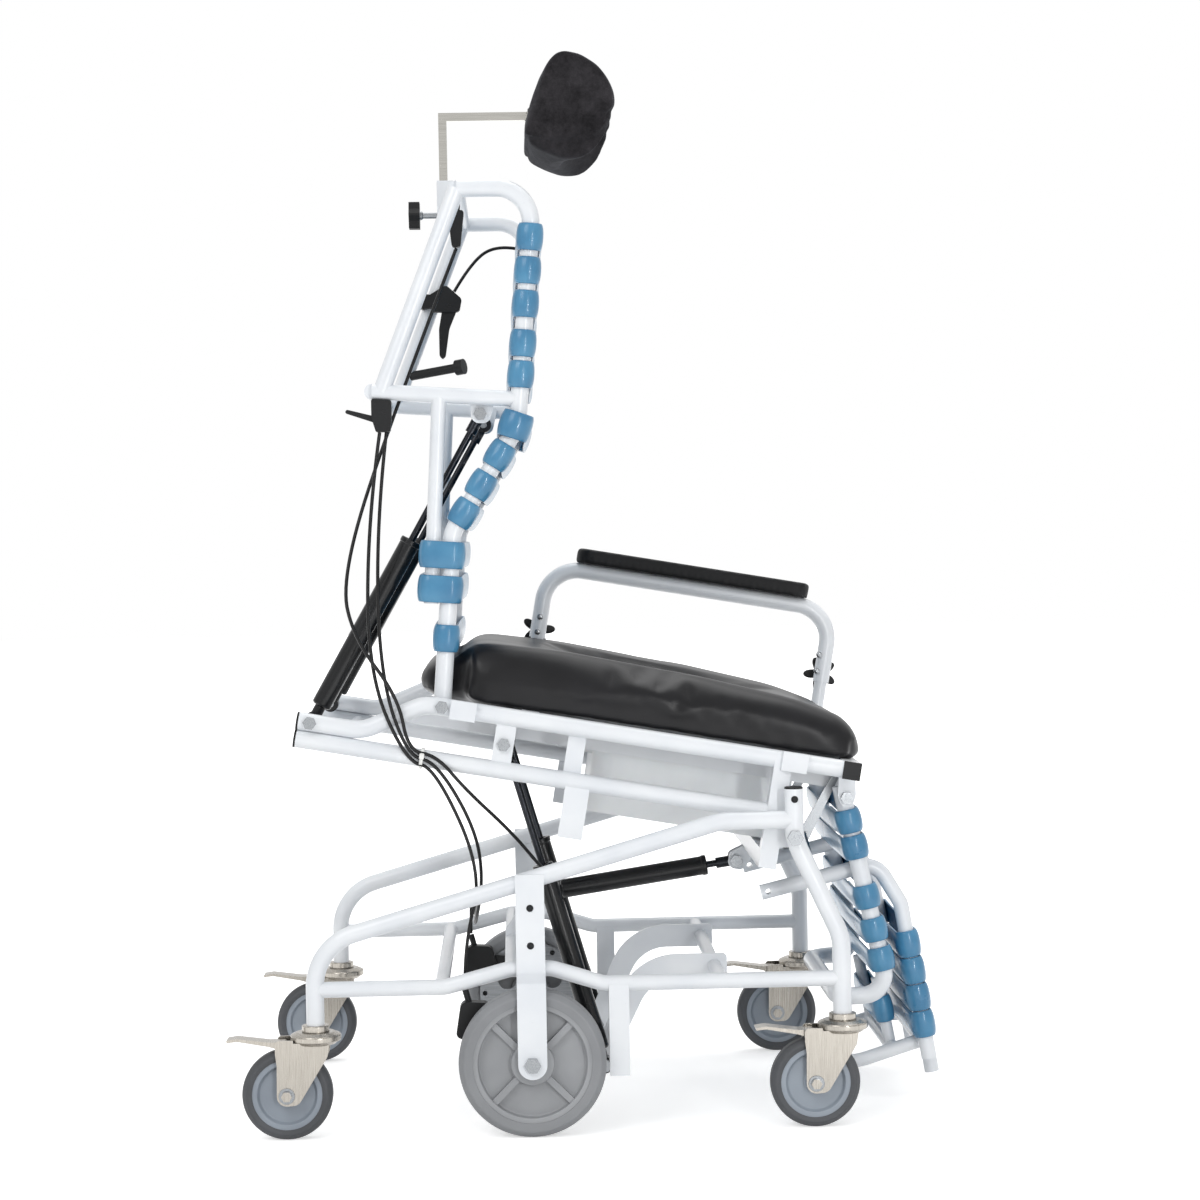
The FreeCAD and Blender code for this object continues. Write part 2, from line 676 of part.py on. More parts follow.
def seat_frame():
    """Two rails a side, front and rear square cross tubes, legs, brackets and pan runners."""
    low = size("low_rail_w")
    top = size("top_rail_w")
    rear = size("rail_rear_u")
    front = size("front_tube_u")
    half_square = size("square_tube") / 2
    leg = size("leg_u")
    rest = low + size("seat_tube_od")
    lower = tube("seat_low_rail", on_plane([(rear, low), (leg, low)], -rail_y), "seat_tube_od", 0, SEAT)
    upper = tube("seat_top_rail", on_plane([
        (rear, rest), (rear + 90, rest), (rear + 170, top), (front - 4, top)], -rail_y),
        "seat_tube_od", 60, SEAT)
    post = box("seat_leg", Vector(leg - half_square, -rail_y - half_square, size("leg_foot_w")),
               Vector(leg + half_square, -rail_y + half_square, top), SEAT)
    gusset = side_slab("pivot_gusset", [flat_loop([
        (leg - half_square, -26, 4), (6, -16, 12), (17, 2, 14), (4, 18, 12), (leg - half_square, 44, 4)])],
        "plate_thick", -rail_y - half_square + size("plate_thick"), SEAT)
    bracket = box("tilt_bracket", Vector(size("tilt_head_u") - 14, -rail_y - 4, low + 4),
                  Vector(size("tilt_head_u") + 14, -rail_y + 4, top - 4), SEAT)
    tilt_spacer = rod("tilt_spacer", "18", Vector(size("tilt_head_u"), -rail_y + 3, size("tilt_head_w")),
                      Vector(size("tilt_head_u"), -TILT_SPACER_END, size("tilt_head_w")), SEAT)
    recline_spacer = rod("recline_spacer", "18",
                         Vector(size("recline_foot_u"), -rail_y, size("recline_foot_w")),
                         Vector(size("recline_foot_u"), -RECLINE_SPACER_END, size("recline_foot_w")), SEAT)
    strut = box("rail_strut", Vector(-330, -rail_y + 6, low - 8), Vector(-305, -rail_y + 9, top), SEAT)
    hanger = box("hanger_bracket", Vector(-324, -rail_y - 10, -53), Vector(-290, -rail_y - 2, low), SEAT)
    saddles = []
    for number, u in enumerate(SADDLES):
        block = box(f"saddle_block_{number}", Vector(u - 18, -rail_y - SADDLE_DEPTH, top - 14),
                    Vector(u + 18, -rail_y - 6, top + 13), SEAT)
        slot = box(f"saddle_slot_{number}", Vector(u - 13, -rail_y - SADDLE_DEPTH + 2.5, top - 15),
                   Vector(u + 13, -rail_y - 13.5, top + 14), SEAT)
        saddles.append(cut(f"saddle_{number}", block, [slot]))
    runner = side_slab("pan_runner", [flat_loop([
        (-560, size("runner_w"), 0), (front, size("runner_w"), 0), (front, top - half_square + 1, 0),
        (-560, top - half_square + 1, 0)])], "3", -size("runner_half"), SEAT)
    ledge = box("runner_ledge", Vector(-560, -size("runner_half"), size("runner_w")),
                Vector(front, -size("runner_half") + 11, size("runner_w") + 3), SEAT)
    ear = side_slab("leg_rest_ear", [flat_loop(leg_ear_outline())], "plate_thick",
                    -size("leg_half") - size("leg_tube_od") / 2 - 0.6)
    side = [lower, upper, post, gusset, bracket, tilt_spacer, recline_spacer, strut, hanger,
            runner, ledge, ear] + saddles
    both = [piece for source in side for piece in pair(source.Name + "_left", source)]
    end = rail_y + half_square + 2
    both.append(box("front_cross_tube", Vector(front - half_square, -end, top - half_square),
                    Vector(front + half_square, end, top + half_square), SEAT))
    both.append(box("rear_cross_tube", Vector(size("arm_post_u") - half_square, -rail_y, top - half_square),
                    Vector(size("arm_post_u") + half_square, rail_y, top + half_square), SEAT))
    both.append(rod("tail_cross_tube", "20", Vector(-645, -rail_y, low), Vector(-645, rail_y, low), SEAT))
    foot = size("leg_foot_w")
    both.append(box("leg_cross_tube", Vector(leg - half_square, -rail_y, foot),
                    Vector(leg + half_square, rail_y, foot + size("square_tube")), SEAT))
    head_u = size("lock_head_u")
    head_w = size("lock_head_w")
    clevis = side_slab("lock_clevis", [flat_loop([
        (leg - 10, foot + 4, 3), (leg + 10, foot + 4, 3), (head_u + 12, head_w - 12, 11),
        (head_u - 12, head_w - 12, 11), (head_u - 12, head_w + 10, 9)])], str(ANCHOR_EAR[1]),
        -ANCHOR_EAR[0], SEAT)
    both += pair("lock_clevis_left", clevis)
    sockets = [arm_socket("front", front), arm_socket("rear", size("arm_post_u"))]
    body = fuse("seat_frame_welded", both + sockets)
    return cut("seat_frame_drilled", body, seat_holes())


SADDLES = (-481.0, -13.0)
SADDLE_DEPTH = 20.0


def leg_ear_outline():
    """Hanger plate from the front cross tube down to the leg rest's hinge, in the chair's frame."""
    top = SEAT.multVec(Vector(size("front_tube_u"), 0, size("top_rail_w")))
    return [(top.x - 11, top.z, 0), (top.x + 11, top.z, 0), (leg_hinge.x + 13, leg_hinge.z + 4, 8),
            (leg_hinge.x + 8, leg_hinge.z - 13, 9), (leg_hinge.x - 8, leg_hinge.z - 13, 9),
            (leg_hinge.x - 13, leg_hinge.z + 4, 8)]


def arm_socket(label, u):
    """Square socket on the outside of the left rail, which holds an arm rest post."""
    y = size("arm_plane")
    top = size("top_rail_w")
    return box("arm_socket_" + label, Vector(u - 15, rail_y, top - 22), Vector(u + 15, y + 14, top + 14),
               SEAT)


def seat_holes():
    """Pivot holes through the seat frame."""
    tools = []
    spots = [("pivot", 0, 0, "pivot_d"), ("hinge", size("hinge_u"), size("top_rail_w"), "bolt_d"),
             ("tilt_head", size("tilt_head_u"), size("tilt_head_w"), "bolt_d"),
             ("recline_foot", size("recline_foot_u"), size("recline_foot_w"), "bolt_d"),
             ("lock_head", size("lock_head_u"), size("lock_head_w"), "bolt_d")]
    for label, u, w, alias in spots:
        tools.append(rod(label + "_drill", alias + " + 2 * fit", Vector(u, -400, w), Vector(u, 400, w),
                         SEAT))
    tools.append(rod("leg_hinge_drill", "bolt_d + 2 * fit", leg_hinge - Y_AXIS * 400,
                     leg_hinge + Y_AXIS * 400))
    for u in (size("front_tube_u"), size("arm_post_u")):
        tools.append(rod(f"post_bore_{u:.0f}", "arm_post_d + 2 * fit",
                         Vector(u, size("arm_plane"), size("top_rail_w") - 18),
                         Vector(u, size("arm_plane"), 400), SEAT))
    return tools


node("seat_frame", [seat_frame()])


def seat_caps():
    """Black plugs in the open rail ends and on the front cross tube's right end."""
    rear = size("rail_rear_u")
    low = size("low_rail_w")
    half = size("square_tube") / 2
    end = rail_y + half + 2
    pieces = []
    for label, w in (("low", low), ("top", low + size("seat_tube_od"))):
        plug = rod(label + "_rail_cap", "seat_tube_od", Vector(rear - CAP_HEIGHT, -rail_y, w),
                   Vector(rear, -rail_y, w), SEAT)
        pieces += pair(label + "_rail_cap_left", plug)
    front = size("front_tube_u")
    plug = box("front_tube_cap", Vector(front - half, -end - 3, size("top_rail_w") - half),
               Vector(front + half, -end, size("top_rail_w") + half), SEAT)
    return pieces + [plug]


node("seat_caps", seat_caps())

STOP_Y = size("foot_half")
ARM_TAIL = Vector(246, 0, 310)
ARM_KNEE = Vector(412, 0, 349)


def leg_rest_stop():
    """Stainless stop over the foot rest's arm: a capped strut on a flat link from the front tube."""
    arm = (ARM_KNEE - ARM_TAIL).normalize()
    above = Vector(-arm.z, 0, arm.x)
    foot = ARM_TAIL + arm * 76 + above * (size("foot_tube_od") / 2 + size("gap")) - Y_AXIS * STOP_Y
    head = foot + Vector(-14, 0, 56)
    strut = rod("stop_strut", "18", foot, head)
    top = SEAT.multVec(Vector(size("front_tube_u"), 0, size("top_rail_w") - size("square_tube") / 2))
    link = side_slab("stop_link", [flat_loop([
        (head.x - 9, head.z - 12, 6), (head.x + 9, head.z - 16, 6), (top.x - 2, top.z + 0.2, 0),
        (top.x - 12, top.z + 2, 0)])], "4", -STOP_Y + 2)
    trimmed = cut("stop_link_trimmed", link, [nodes["seat_frame"]])
    return fuse("stop", [strut, trimmed])


def seat_fittings():
    """Pivot bolts of the springs, the back hinge and the leg rest, and the leg rest's stops."""
    face = -rail_y - size("seat_tube_od") / 2
    reach = -size("recline_plane") + size("eye_width") / 2 + 1
    recline = bolt("recline_foot_bolt", "bolt_d", Vector(size("recline_foot_u"), face,
                                                         size("recline_foot_w")),
                   Vector(size("recline_foot_u"), reach, size("recline_foot_w")), SEAT)
    inner = -size("back_half") + size("back_tube_od") / 2
    back = bolt("back_hinge_bolt", "bolt_d", Vector(size("hinge_u"), face, size("top_rail_w")),
                Vector(size("hinge_u"), inner, size("top_rail_w")), SEAT)
    reach = -size("tilt_plane") + size("eye_width") / 2 + 1
    tilt = bolt("tilt_head_bolt", "bolt_d", Vector(size("tilt_head_u"), -rail_y - 4, size("tilt_head_w")),
                Vector(size("tilt_head_u"), reach, size("tilt_head_w")), SEAT)
    ear = size("leg_half") + size("leg_tube_od") / 2 + 0.6 + size("plate_thick")
    leg = bolt("leg_hinge_bolt", "bolt_d", leg_hinge - Y_AXIS * ear,
               leg_hinge - Y_AXIS * (size("leg_half") - size("leg_tube_od") / 2))
    ear_out = sum(ANCHOR_EAR)
    lock = bolt("lock_head_bolt", "bolt_d", Vector(size("lock_head_u"), -ear_out, size("lock_head_w")),
                Vector(size("lock_head_u"), ear_out, size("lock_head_w")), SEAT, nut=True)
    sides = [piece for source in (recline, back, tilt, leg, leg_rest_stop())
             for piece in pair(source.Name + "_left", source)]
    return sides + [lock]


node("seat_fittings", seat_fittings())

# Seat cushion

def seat_cushion():
    """Contoured cushion with a commode opening: a plan outline and a side profile in common."""
    half = size("cushion_half")
    front = size("cushion_front_u")
    rear = size("cushion_rear_u")
    base = size("top_rail_w") + size("square_tube") / 2 + size("gap")
    tall = size("cushion_height")
    tongue = size("back_half") - size("back_tube_od") / 2 - size("strap_wall") - 6
    shoulder = size("hinge_u") + 24
    middle = OPENING_CENTRE_U
    long_half = size("opening_length") / 2
    wide_half = size("opening_width") / 2
    plan = slab("cushion_plan", [flat_loop([
        (front + 4, -half, 70), (front + 4, half, 70), (shoulder, half, 30), (shoulder, tongue, 0),
        (rear, tongue, 60), (rear, -tongue, 60), (shoulder, -tongue, 0), (shoulder, -half, 30)]),
        flat_loop([(middle - long_half, -wide_half, 80), (middle + long_half, -wide_half, 80),
                   (middle + long_half, wide_half, 80), (middle - long_half, wide_half, 80)])],
        "cushion_height * 2", SEAT * FreeCAD.Placement(Vector(0, 0, base), FreeCAD.Rotation()))
    profile = side_slab("cushion_profile", [flat_loop([
        (rear, base, 12), (rear, base + 36, 20), (rear + 57, base + 56, 20),
        (rear + 79, base + tall - 6, 24), (rear + 200, base + tall, 300), (-160, base + tall - 5, 300),
        (-20, base + tall - 16, 200), (front - 8, base + tall - 40, 40), (front, base, 16)])],
        "cushion_half * 2 + 20",
        half + 10, SEAT)
    piece = doc.addObject("Part::Common", "cushion_common")
    piece.Base = plan
    piece.Tool = profile
    return piece


OPENING_CENTRE_U = -205.0
node("seat_cushion", [seat_cushion()])

# Commode pan on the runners

def commode_pan():
    """Open pan hung by its flange on the runners, with a pull tongue to the rear."""
    wall = size("pan_wall")
    half = size("pan_half")
    front = 5.0
    rear = front - size("pan_length")
    seat_w = size("runner_w") + 3 + size("gap")
    floor = seat_w - size("pan_depth")
    flange_half = size("runner_half") - 1.5

    def shell(name, inset, low, high):
        body, sketch = sketch_body(name, [flat_loop([
            (rear + inset, -half + inset, 30), (front - inset, -half + inset, 30),
            (front - inset, half - inset, 30), (rear + inset, half - inset, 30)])])
        pad = body.newObject("PartDesign::Pad", name + "_pad")
        pad.Profile = sketch
        pad.Length = high - low
        body.Placement = SEAT * FreeCAD.Placement(Vector(0, 0, low), FreeCAD.Rotation())
        return body

    flange = slab("pan_flange", [flat_loop([
        (rear - 12, -flange_half, 12), (front + 10, -flange_half, 12),
        (front + 10, flange_half, 12), (rear - 12, flange_half, 12)])], "pan_wall",
        SEAT * FreeCAD.Placement(Vector(0, 0, seat_w), FreeCAD.Rotation()))
    tongue = side_slab("pan_tongue", [flat_loop([
        (rear - 10, seat_w - 14, 0), (rear + 1, seat_w - 14, 0), (rear + 1, seat_w + wall, 0),
        (rear - 100, seat_w + wall, 60), (rear - 190, seat_w + 12, 8), (rear - 202, seat_w + 14, 2),
        (rear - 202, seat_w + 9, 2), (rear - 190, seat_w + 7, 8), (rear - 100, seat_w - 1, 60)])],
        "120", 60, SEAT)
    body = fuse("pan_outside", [shell("pan_body", 0, floor, seat_w + wall), flange, tongue])
    return cut("pan", body, [shell("pan_hollow", wall, floor + wall, seat_w + wall + 1)])


node("commode_pan", [commode_pan()])

# Arm rest on the left side

def arm_rest():
    """Posts in the sockets, the bent tube that slides on them, its pad and two wing knobs."""
    y = size("arm_plane")
    front = size("front_tube_u")
    rear = size("arm_post_u")
    skirt = size("arm_skirt_w")
    rail = size("arm_rail_w")
    deep = size("top_rail_w") - 18
    posts = [rod(f"arm_post_{u:.0f}", "arm_post_d", Vector(u, y, deep), Vector(u, y, rail - 62), SEAT)
             for u in (front, rear)]
    node("armrest_posts", posts)
    bent = tube("arm_bent_tube", on_plane([(rear, skirt), (rear, rail), (front, rail), (front, skirt)], y),
                "arm_tube_od", 55, SEAT)
    bores = [rod(f"arm_bore_{u:.0f}", "arm_post_d + 4 * fit", Vector(u, y, skirt - 1),
                 Vector(u, y, rail - 57), SEAT) for u in (front, rear)]
    knob_w = skirt + 12
    collars = [rod(f"arm_collar_{u:.0f}", "14", Vector(u, y, knob_w),
                   Vector(u, y + size("arm_tube_od") / 2 + 5, knob_w), SEAT) for u in (front, rear)]
    bores += [rod(f"arm_screw_hole_{u:.0f}", "6 + 2 * fit", Vector(u, y, knob_w), Vector(u, y + 40,
                                                                                         knob_w), SEAT)
              for u in (front, rear)]
    node("armrest_tube", [cut("arm_tube_bored", fuse("arm_tube_welded", [bent] + collars), bores)])
    pad_low = rail + size("arm_tube_od") / 2 - 1
    pad_block = slab("arm_pad_block", [flat_loop([
        (rear + 42, y - 27, 24), (front - 42, y - 27, 24), (front - 42, y + 27, 24), (rear + 42, y + 27,
                                                                                      24)])],
        "arm_pad_thick", SEAT * FreeCAD.Placement(Vector(0, 0, pad_low), FreeCAD.Rotation()))
    groove = rod("arm_pad_groove", "arm_tube_od + 2 * fit", Vector(rear, y, rail), Vector(front, y,
                                                                                          rail), SEAT)
    node("armrest_pad", [cut("arm_pad_grooved", pad_block, [groove])])
    knob_face = y + size("arm_tube_od") / 2 + 5 + size("gap")
    for label, u in (("front", front), ("rear", rear)):
        first = 180 if label == "front" else 0
        lobes = []
        for step in range(2 * ARM_KNOB_LOBES):
            angle = math.radians(first + 180 / ARM_KNOB_LOBES * step)
            reach = ARM_KNOB_WAIST if step % 2 else ARM_KNOB_REACH
            lobes.append((reach * math.cos(angle), reach * math.sin(angle), 3))
        place = SEAT * FreeCAD.Placement(Vector(u, knob_face, knob_w), FreeCAD.Rotation(X_AXIS, -90))
        head = slab(f"wing_{label}", [flat_loop(lobes)], "13", place)
        screw = rod(f"wing_screw_{label}", "6", Vector(u, y + size("arm_post_d") / 2 + 0.8, knob_w),
                    Vector(u, knob_face + 3, knob_w), SEAT)
        node(f"armrest_knob_{label}", [fuse(f"wing_knob_{label}", [head, screw])])


ARM_KNOB_LOBES = 5
ARM_KNOB_REACH = 27.0
ARM_KNOB_WAIST = 13.0
arm_rest()

# Back, drawn in the chair's frame

back_y = size("back_half")
BACK_FOOT = hinge + Vector(-1, 0, -9)
TOP_CORNER = Vector(-62, 0, 1315)
TOP_REAR = Vector(-169, 0, 1315)
SHOULDER = Vector(-90, 0, 982)
WAIST = Vector(-184, 0, 835)
HANDLE_REAR = Vector(-293, 0, 1033)
HANDLE_FRONT = Vector(-86, 0, 1019)
PUSH_FOOT = Vector(-280, 0, 1032)
RECLINE_HEAD = Vector(-142, 0, 1000)
POST_TOP = Vector(-199, 0, 1027)
POST_FOOT = Vector(-216, 0, 735)


def side(point, y):
    """A side-view point moved across to a plane of the chair."""
    return Vector(point.x, y, point.z)


def back_frame():
    """Bent front tube, push tube, handle tube and rear post a side, with three bars across."""
    y = -back_y
    front = tube("back_front_tube", [side(point, y) for point in
                                     (BACK_FOOT, WAIST, SHOULDER, TOP_CORNER, TOP_REAR)], "back_tube_od", 48)
    push = tube("push_tube", [side(TOP_REAR, y), side(PUSH_FOOT, y)], "back_tube_od - 1", 0)
    handle = tube("handle_tube", [side(HANDLE_REAR, y), side(HANDLE_FRONT, y)], "handle_od", 0)
    post = tube("back_rear_post", [side(POST_TOP, y), side(POST_FOOT, y)], "handle_od - 1", 0)
    lug = side_slab("recline_lug", [flat_loop([
        (RECLINE_HEAD.x - 14, HANDLE_REAR.z - 6, 4), (RECLINE_HEAD.x - 13, RECLINE_HEAD.z - 13, 12),
        (RECLINE_HEAD.x + 13, RECLINE_HEAD.z - 13, 12), (RECLINE_HEAD.x + 22, HANDLE_REAR.z - 6, 4)])],
        "plate_thick", y + size("handle_od") / 2 - 1 + size("plate_thick"))
    both = [piece for source in (front, push, handle, post, lug)
            for piece in pair(source.Name + "_left", source)]
    bars = [rod("push_bar", "handle_od", side(HANDLE_REAR, y), side(HANDLE_REAR, -y)),
            rod("top_bar", "handle_od", side(TOP_REAR, y), side(TOP_REAR, -y))]
    socket = box("head_socket", Vector(size("head_post_x") - 10, -11, 1288),
                 Vector(size("head_post_x") + 14, 11, 1353))
    head_half = size("head_bar") / 2 + 0.2
    tools = [rod("hinge_drill_back", "bolt_d + 2 * fit", hinge - Y_AXIS * 400, hinge + Y_AXIS * 400),
             rod("recline_drill_back", "bolt_d + 2 * fit", RECLINE_HEAD - Y_AXIS * 400,
                 RECLINE_HEAD + Y_AXIS * 400),
             box("head_slot", Vector(size("head_post_x") - head_half, -head_half, 1280),
                 Vector(size("head_post_x") + head_half, head_half, 1360)),
             rod("head_screw_hole", "8 + 2 * fit", Vector(size("head_post_x") - 30, 0, HEAD_KNOB_Z),
                 Vector(size("head_post_x"), 0, HEAD_KNOB_Z))]
    return cut("back_frame_drilled", fuse("back_frame_welded", both + bars + [socket]), tools)


HEAD_KNOB_Z = 1303.0
node("back_frame", [back_frame()])


def strap(name, centre, along, half_span, tube_d, depth=0.0, height="strap_height"):
    """A vinyl band round a pair of tubes: a flat loop as high as the strap."""
    inner = tube_d / 2 + 0.1
    outer = inner + size("strap_wall")
    loops = []
    for radius in (outer, inner):
        reach = half_span + radius
        wide = depth + radius
        loops.append(flat_loop([(-wide, -reach, radius - 0.01), (wide, -reach, radius - 0.01),
                                (wide, reach, radius - 0.01), (-wide, reach, radius - 0.01)]))
    lean = math.degrees(math.atan2(along.x, along.z))
    base = centre - Vector(along).normalize() * (size(height) / 2)
    return slab(name, loops, height, FreeCAD.Placement(base, FreeCAD.Rotation(Y_AXIS, lean)))


def spread(start, end, fractions):
    """Points along a line, at the given fractions of it."""
    return [start + (end - start) * fraction for fraction in fractions]


def back_straps():
    """Twelve bands: five up the top, one over the shoulder's bend, three on the slope, three low ones."""
    straps = []
    rise = TOP_CORNER - SHOULDER
    places = [(point, rise) for point in spread(SHOULDER, TOP_CORNER, BACK_TOP_STRAPS)]
    slope = SHOULDER - WAIST
    places += [(point, slope) for point in spread(WAIST, SHOULDER, BACK_SLOPE_STRAPS)]
    for number, (centre, along) in enumerate(places):
        straps.append(strap(f"back_strap_{number}", centre, along, back_y, size("back_tube_od")))
    bend = Vector(slope).normalize() + Vector(rise).normalize()
    straps.append(strap("back_shoulder_strap", SHOULDER + BACK_SHOULDER_LIFT, bend, back_y,
                        size("back_tube_od") + 2 * BACK_SHOULDER_SLACK))
    upright = WAIST - BACK_FOOT
    for number, z in enumerate(BACK_WIDE_STRAPS):
        front = BACK_FOOT + upright * ((z - BACK_FOOT.z) / upright.z)
        rear = POST_FOOT + (POST_TOP - POST_FOOT) * ((z - POST_FOOT.z) / (POST_TOP.z - POST_FOOT.z))
        straps.append(strap(f"back_wide_strap_{number}", (front + rear) / 2, upright, back_y,
                            size("back_tube_od"), (front.x - rear.x) / 2 + 1))
    low = BACK_FOOT + upright * BACK_LOW_STRAP
    straps.append(strap("back_low_strap", low, upright, back_y, size("back_tube_od")))
    return straps


BACK_TOP_STRAPS = (0.79, 0.65, 0.51, 0.345, 0.215)
BACK_SLOPE_STRAPS = (0.175, 0.44, 0.72)
BACK_SHOULDER_LIFT = Vector(-3, 0, 0)
BACK_SHOULDER_SLACK = 4.6
BACK_WIDE_STRAPS = (803.0, 755.0)
BACK_LOW_STRAP = 0.41
node("back_straps", back_straps())


def back_bolts():
    """Pivot pins of the recline springs' heads."""
    y = -back_y + size("handle_od") / 2 - 1
    reach = -size("recline_plane") + size("eye_width") / 2 + 1
    pin = bolt("recline_head_bolt", "bolt_d", side(RECLINE_HEAD, y), side(RECLINE_HEAD, reach))
    return pair("recline_head_bolt_left", pin)


node("back_bolts", back_bolts())

# Hand controls on the back

LEVER_PIVOT = Vector(-276, 0, 1004)
GRIP_PIVOT = Vector(-192, 0, 1186)
GRIP_Y = 196.0


def cable_housings():
    """Fixed bodies of the two hand controls and the cable splitter near the top of the back."""
    y = -back_y
    under = HANDLE_REAR.z - size("handle_od") / 2
    lower = side_slab("lever_body", [flat_loop([
        (-294, under + 0.5, 3), (-294, 996, 6), (-288, 976, 3), (-268, 976, 3), (-266, 996, 6),
        (-266, under - 1.4, 3)])], "18", y + 9)
    slot = box("lever_body_slot", Vector(-300, y - 4.5, 985), Vector(-268.5, y + 4.5, 1011))
    pin_hole = rod("lever_pin_hole", "5 + 2 * fit", side(LEVER_PIVOT, y - 20), side(LEVER_PIVOT, y + 20))
    lower_body = cut("lever_body_cut", lower, [slot, pin_hole, nodes["back_frame"]])
    pin = rod("lever_pin", "5", side(LEVER_PIVOT, y - 9), side(LEVER_PIVOT, y + 9))
    grip = side_slab("grip_body", [flat_loop([
        (-226, 1200, 6), (-218, 1176, 6), (-176, 1176, 6), (-172, 1196, 6), (-196, 1218, 8)])], "18",
        GRIP_Y + 9)
    grip_slot = box("grip_body_slot", Vector(-212, GRIP_Y - 5, 1170), Vector(-165, GRIP_Y + 5, 1199))
    grip_hole = rod("grip_pin_hole", "5 + 2 * fit", side(GRIP_PIVOT, GRIP_Y - 20), side(GRIP_PIVOT,
                                                                                        GRIP_Y + 20))
    clamp = side_slab("grip_clamp", [flat_loop([
        (-240, 1206, 5), (-236, 1180, 5), (-214, 1184, 5), (-214, 1202, 5)])], "34", GRIP_Y + 25)
    grip_body = cut("grip_body_cut", fuse("grip_body_fused", [grip, clamp]),
                    [grip_slot, grip_hole, nodes["back_frame"]])
    grip_pin = rod("grip_pin", "5", side(GRIP_PIVOT, GRIP_Y - 9), side(GRIP_PIVOT, GRIP_Y + 9))
    rest = cut("grip_rest_cut", fuse("grip_rest", [
        rod("grip_rest_arm", "14", Vector(-262, GRIP_Y + 24, 1078), Vector(-176, GRIP_Y - 14, 1090)),
        rod("grip_rest_knob", "24", Vector(-182, GRIP_Y - 11.4, 1089.2), Vector(-170, GRIP_Y - 16.6,
                                                                                1090.9))]),
        [nodes["back_frame"]])
    splitter = side_slab("splitter", [flat_loop([
        (-184, 1290, 4), (-160, 1290, 4), (-166, 1238, 4), (-178, 1238, 4)])], "16", -back_y + 60)
    hook = rod("splitter_arm", "8", Vector(-170, -back_y + 52, 1286), Vector(-169, -back_y + 52, 1308))
    upper = cut("splitter_cut", fuse("splitter_fused", [splitter, hook]), [nodes["back_frame"]])
    return [lower_body, pin, grip_body, grip_pin, rest, upper]


node("cable_housings", cable_housings())

node("release_lever", [side_slab("release_blade", [
    flat_loop([(-282, 1009, 5), (-271, 1009, 5), (-271.6, 999, 5), (-286, 988, 4), (-330, 1003, 3),
               (-331, 1009, 3), (-288, 998, 6)]),
    round_loop(LEVER_PIVOT.x, LEVER_PIVOT.z, 2.5 + fit)], "8", -back_y + 4)])

node("grip_lever", [side_slab("grip_blade", [
    flat_loop([(-201, 1193, 5), (-184, 1193, 5), (-181, 1176, 8), (-192, 1150, 30), (-199, 1104, 7),
               (-208, 1104, 7), (-208, 1150, 30), (-204, 1172, 8)]),
    round_loop(GRIP_PIVOT.x, GRIP_PIVOT.z, 2.5 + fit)], "9", GRIP_Y + 4.5)])

# Head rest

def head_rest():
    """Square post and bar with a ball, its clamp knob, and the pad."""
    x = size("head_post_x")
    half = size("head_bar") / 2
    top = size("head_bar_z")
    ball = Vector(size("head_ball_x"), 0, top)
    post = box("head_post", Vector(x - half, -half, 1290), Vector(x + half, half, top + half))
    bar = box("head_bar_piece", Vector(x, -half, top - half), Vector(ball.x - 6, half, top + half))
    knuckle = doc.addObject("Part::Sphere", "head_ball")
    knuckle.Radius = HEAD_BALL / 2
    knuckle.Placement = FreeCAD.Placement(ball, FreeCAD.Rotation())
    node("headrest_post", [fuse("head_post_welded", [post, bar, knuckle])])
    pad = side_slab("head_pad_block", [flat_loop(HEAD_PAD)], "head_pad_half * 2", size("head_pad_half"))
    hollow = doc.addObject("Part::Sphere", "head_ball_seat")
    hollow.Radius = HEAD_BALL / 2 + size("gap")
    hollow.Placement = FreeCAD.Placement(ball, FreeCAD.Rotation())
    stem_room = box("head_bar_room", Vector(ball.x - 60, -11, top - 24), Vector(ball.x, 11, top + 11))
    node("headrest_pad", [cut("head_pad_cut", pad, [hollow, stem_room])])
    seat = x - half - 0.3
    lobes = [(23 * math.cos(math.radians(30 * step)) * (1 if step % 2 else 0.78),
              23 * math.sin(math.radians(30 * step)) * (1 if step % 2 else 0.78), 3) for step in range(12)]
    place = FreeCAD.Placement(Vector(x - 52, 0, HEAD_KNOB_Z), FreeCAD.Rotation(Y_AXIS, 90))
    head = slab("head_knob_star", [flat_loop(lobes)], "16", place)
    screw = rod("head_knob_screw", "8", Vector(x - 40, 0, HEAD_KNOB_Z), Vector(seat, 0, HEAD_KNOB_Z))
    node("headrest_knob", [fuse("head_knob", [head, screw])])


HEAD_BALL = 18.0
HEAD_PAD = [(-34, 1519, 16), (-2, 1529, 24), (61, 1489, 34), (57, 1408, 34), (14, 1359, 30), (-20, 1359, 24),
            (-77, 1391, 14)]
head_rest()

# Gas springs

